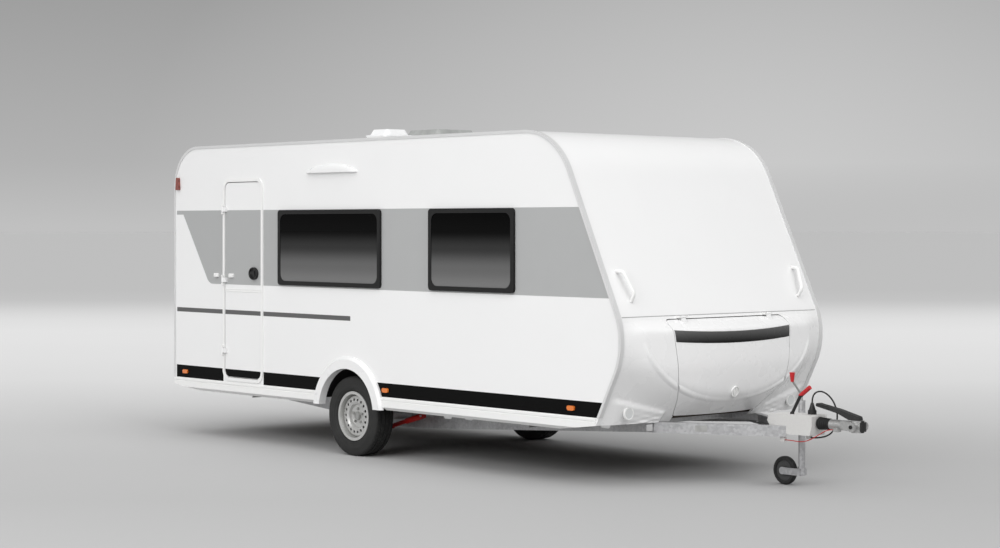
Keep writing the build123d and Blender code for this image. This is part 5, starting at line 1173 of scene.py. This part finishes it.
# %% Lock with dish, paddle and barrel
DISH_RIM, DISH_DEPTH, DISH_TAPER = 0.009, 0.014, 0.88
PADDLE_SIZE, PADDLE_BACK, PADDLE_IN, PADDLE_UP = (0.060, 0.012, 0.034), 0.008, 0.009, 0.006
BARREL_RADIUS, BARREL_DEPTH, BARREL_AHEAD, BARREL_DOWN = 0.011, 0.010, 0.028, 0.020
lock_low, lock_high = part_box("door_lock")
lock_x, lock_y, lock_z = middle_of("door_lock")
lock_half = (lock_high - lock_low) / 2
lock_face = lock_low.y
start_fresh()
bpy.ops.mesh.primitive_cylinder_add(
    vertices=48, radius=1, depth=2, location=(lock_x, lock_y, lock_z), rotation=FACING_SIDE,
)
plate = bpy.context.object
plate.scale = lock_half.xzy
settle()
bpy.ops.object.mode_set(mode="EDIT")
stepped_head((DISH_RIM, -DISH_DEPTH))
bpy.ops.transform.resize(value=(DISH_TAPER, 1, DISH_TAPER), center_override=(lock_x, 0, lock_z))
pick("EDGE", lambda middle, run: middle.y < lock_face + 0.0005)
bevel(0.004, 3)
paddle_z = lock_z + PADDLE_UP
paddle = block((lock_x - PADDLE_BACK, lock_face + PADDLE_IN, paddle_z), PADDLE_SIZE)
pick_facing(-1, 0, 0)
bpy.ops.transform.resize(value=(1, 0.5, 0.7), center_override=(lock_x, lock_face + 0.005, paddle_z))
bpy.ops.mesh.select_all(action="SELECT")
bevel(0.004, 3)
barrel = disc(
    (lock_x + BARREL_AHEAD, lock_face + 0.010, lock_z - BARREL_DOWN), BARREL_RADIUS, BARREL_DEPTH, 24,
)
stepped_head((0.003, -0.002))
joined([plate, paddle, barrel])
keep("door_lock_set", "entrance_door", black_plastic, smooth=35)
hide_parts("door_lock")

# %% [markdown]
# ## Awning lamp
# Over the window a lens-shaped lamp bulges from the wall, flat below and curved above. The solid has the outline
# with straight sides. Here the same outline is drawn on a circle of vertices, filled, and pulled out in four steps
# that shrink toward the lower edge, so the top rolls over softly. A squashed ball would have a pole in plain view.

# %% Domed lamp
LAMP_POINTS, LAMP_CROWN = 64, 1.25
LAMP_STEPS = [
    # share of the depth, size along the body, size upward
    (0.45, 0.995, 0.96), (0.30, 0.975, 0.88), (0.17, 0.93, 0.76), (0.08, 0.84, 0.62),
]
lamp_low, lamp_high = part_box("awning_lamp")
lamp_half = (lamp_high.x - lamp_low.x) / 2
lamp_x = (lamp_low.x + lamp_high.x) / 2
start_fresh()
bpy.ops.mesh.primitive_circle_add(vertices=LAMP_POINTS)
dome = bpy.context.object
for number, vertex in enumerate(dome.data.vertices):
    turn = math.tau * number / LAMP_POINTS
    rise = max(0, math.sin(turn)) ** LAMP_CROWN * (lamp_high.z - lamp_low.z)
    vertex.co = (lamp_x + lamp_half * math.cos(turn), lamp_high.y, lamp_low.z + rise)
bpy.ops.object.mode_set(mode="EDIT")
bpy.ops.mesh.select_all(action="SELECT")
bpy.ops.mesh.edge_face_add()
for share, wide, tall in LAMP_STEPS:
    push(0, -share * (lamp_high.y - lamp_low.y), 0)
    bpy.ops.transform.resize(value=(wide, 1, tall), center_override=(lamp_x, 0, lamp_low.z))
outward()
keep("awning_lamp_dome", "caravan_body", white_moulding, smooth=60)
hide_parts("awning_lamp")

# %% [markdown]
# ## Seal, lamp rings and plate at the front
# A grey rubber seal covers the joint between the front panel and the moulding. Each clear front lamp has a white
# ring, and a blank plate is riveted to the right-hand beam. The seal is found by a ray cast on the panel, the
# rings by the box of the lamps.

# %% Seam seal
SEAL_DEPTH, SEAL_LENGTH, SEAL_TALL = 0.006, 2.04, 0.007
seam_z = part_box("front_panel")[0].z
found, spot, slope = skin_at(nodes["front_panel"], 0, seam_z + 0.002)
seal_grey = plain_finish("seal_grey", grey(168), 0.08, (0.50, 0.62), 30.0, 0.0002)
block((spot.x - 0.001, 0, seam_z + 0.001), (SEAL_DEPTH, SEAL_LENGTH, SEAL_TALL))
pick("EDGE", lambda middle, run: abs(run.y) > SEAL_LENGTH / 2 and middle.x > spot.x)
bevel(0.002, 3)
outward()
keep("seam_seal", "caravan_body", seal_grey, smooth=40)

# %% [markdown]
# A ring could be a torus, but the real one is a flat collar with a rounded rim. Both ends of a disc are inset, the
# inner loops are bridged to open the hole, and the front edges are bevelled.

# %% Rings round the front lamps
RING_RADIUS, RING_DEPTH, RING_WIDTH, RING_BACK, RING_Y, RING_Z = 0.047, 0.014, 0.012, 0.005, 0.854, 0.520
lens_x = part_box("marker_lamps")[1].x
rings = []
for side in (-1, 1):
    place = (lens_x - RING_BACK, side * RING_Y, RING_Z)
    rings.append(disc(place, RING_RADIUS, RING_DEPTH, 48, turn=FACING_AHEAD))
    pick("FACE", lambda middle, normal: abs(normal.x) > 0.9)
    bpy.ops.mesh.inset(thickness=RING_WIDTH)
    bpy.ops.mesh.bridge_edge_loops()
    pick("EDGE", lambda middle, run: middle.x > lens_x + 0.0015)
    bevel(0.003, 3)
    outward()
joined(rings)
keep("front_lamp_rings", "caravan_body", white_trim, smooth=40)

# %% [markdown]
# The plate on the beam is bare sheet with rounded corners, turned to the beam's own slant. The coupling's friction
# discs each have a small black cap with a sunk face.

# %% Blank plate on the beam, and caps on the stabiliser discs
PLATE_X, PLATE_Y, PLATE_Z, PLATE_SIZE, PLATE_OUT = 3150, -0.3848, 0.404, (0.086, 0.0016, 0.044), 0.0009
CAP_X, CAP_Z, DISC_CAP_RADIUS, DISC_CAP_DEPTH, DISC_CAP_DISH = 4222, 0.470, 0.013, 0.006, 0.003
BEAM_SLOPE = 0.5946
beam_turn = math.atan(BEAM_SLOPE)
plate_place = (
    frame_x(PLATE_X) + PLATE_OUT * math.sin(beam_turn), PLATE_Y - PLATE_OUT * math.cos(beam_turn), PLATE_Z,
)
block(plate_place, PLATE_SIZE, turn=(0, 0, beam_turn))
pick("EDGE", lambda middle, run: abs(run.z) < 0.001 and run.length < 0.002)
bevel(0.006, 4)
keep("beam_plate", "caravan_body", zinc_steel, smooth=35)

disc_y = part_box("coupling_head")[1].y
caps = []
for side in (-1, 1):
    place = (frame_x(CAP_X), side * (disc_y + DISC_CAP_DEPTH / 2), CAP_Z)
    caps.append(disc(place, DISC_CAP_RADIUS, DISC_CAP_DEPTH, 32))
    pick_facing(0, side, 0)
    bpy.ops.mesh.inset(thickness=0.004)
    push(0, -side * DISC_CAP_DISH, 0)
joined(caps)
keep("disc_caps", "caravan_body", black_plastic, smooth=35)

# %% [markdown]
# ## Vents and mains inlet on the left wall
# The two refrigerator vents have slanted slats and the mains inlet a spring flap. Slats could be stripes in a
# material, but light has to catch their edges. One slat is slanted from a cube by moving its outer face down, an
# array repeats it up the vent, and the array is applied. The flap is a rounded plate with a sunk face.

# %% Slats and flap
hatch_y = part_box("service_hatches")[1].y
SLAT_SIZE, SLAT_DROP, SLATS, SLAT_PITCH = (0.410, 0.008, 0.005), 0.009, 9, 0.021
VENT_X, VENT_LOWS, VENT_MARGIN = frame_x(709), (0.760, 1.480), 0.030
FLAP_X, FLAP_Z, FLAP_SIZE, FLAP_CORNER = frame_x(-1945), 0.786, (0.118, 0.008, 0.136), 0.014
slats = []
for low in VENT_LOWS:
    slat = block((VENT_X, hatch_y + SLAT_SIZE[1] / 2, low + VENT_MARGIN), SLAT_SIZE)
    pick_facing(0, 1, 0)
    bpy.ops.transform.translate(value=(0, 0, -SLAT_DROP))
    pick("EDGE", lambda middle, run: middle.y > hatch_y + SLAT_SIZE[1] - 0.001)
    bevel(0.0015, 2)
    apply_modifier(
        slat, "ARRAY", count=SLATS, use_relative_offset=False, use_constant_offset=True,
        constant_offset_displace=(0, 0, SLAT_PITCH),
    )
    slats.append(slat)
joined(slats)
keep("vent_slats", "caravan_body", white_trim, smooth=35)

block((FLAP_X, hatch_y + FLAP_SIZE[1] / 2, FLAP_Z), FLAP_SIZE)
pick("EDGE", lambda middle, run: abs(run.y) > FLAP_SIZE[1] / 2)
bevel(FLAP_CORNER, 5)
pick_facing(0, 1, 0)
bpy.ops.mesh.inset(thickness=0.008)
push(0, -0.003, 0)
keep("inlet_flap", "caravan_body", white_trim, smooth=35)

# %% Sizes
low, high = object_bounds()
print("box", [round(value, 4) for value in (*low, *high)])
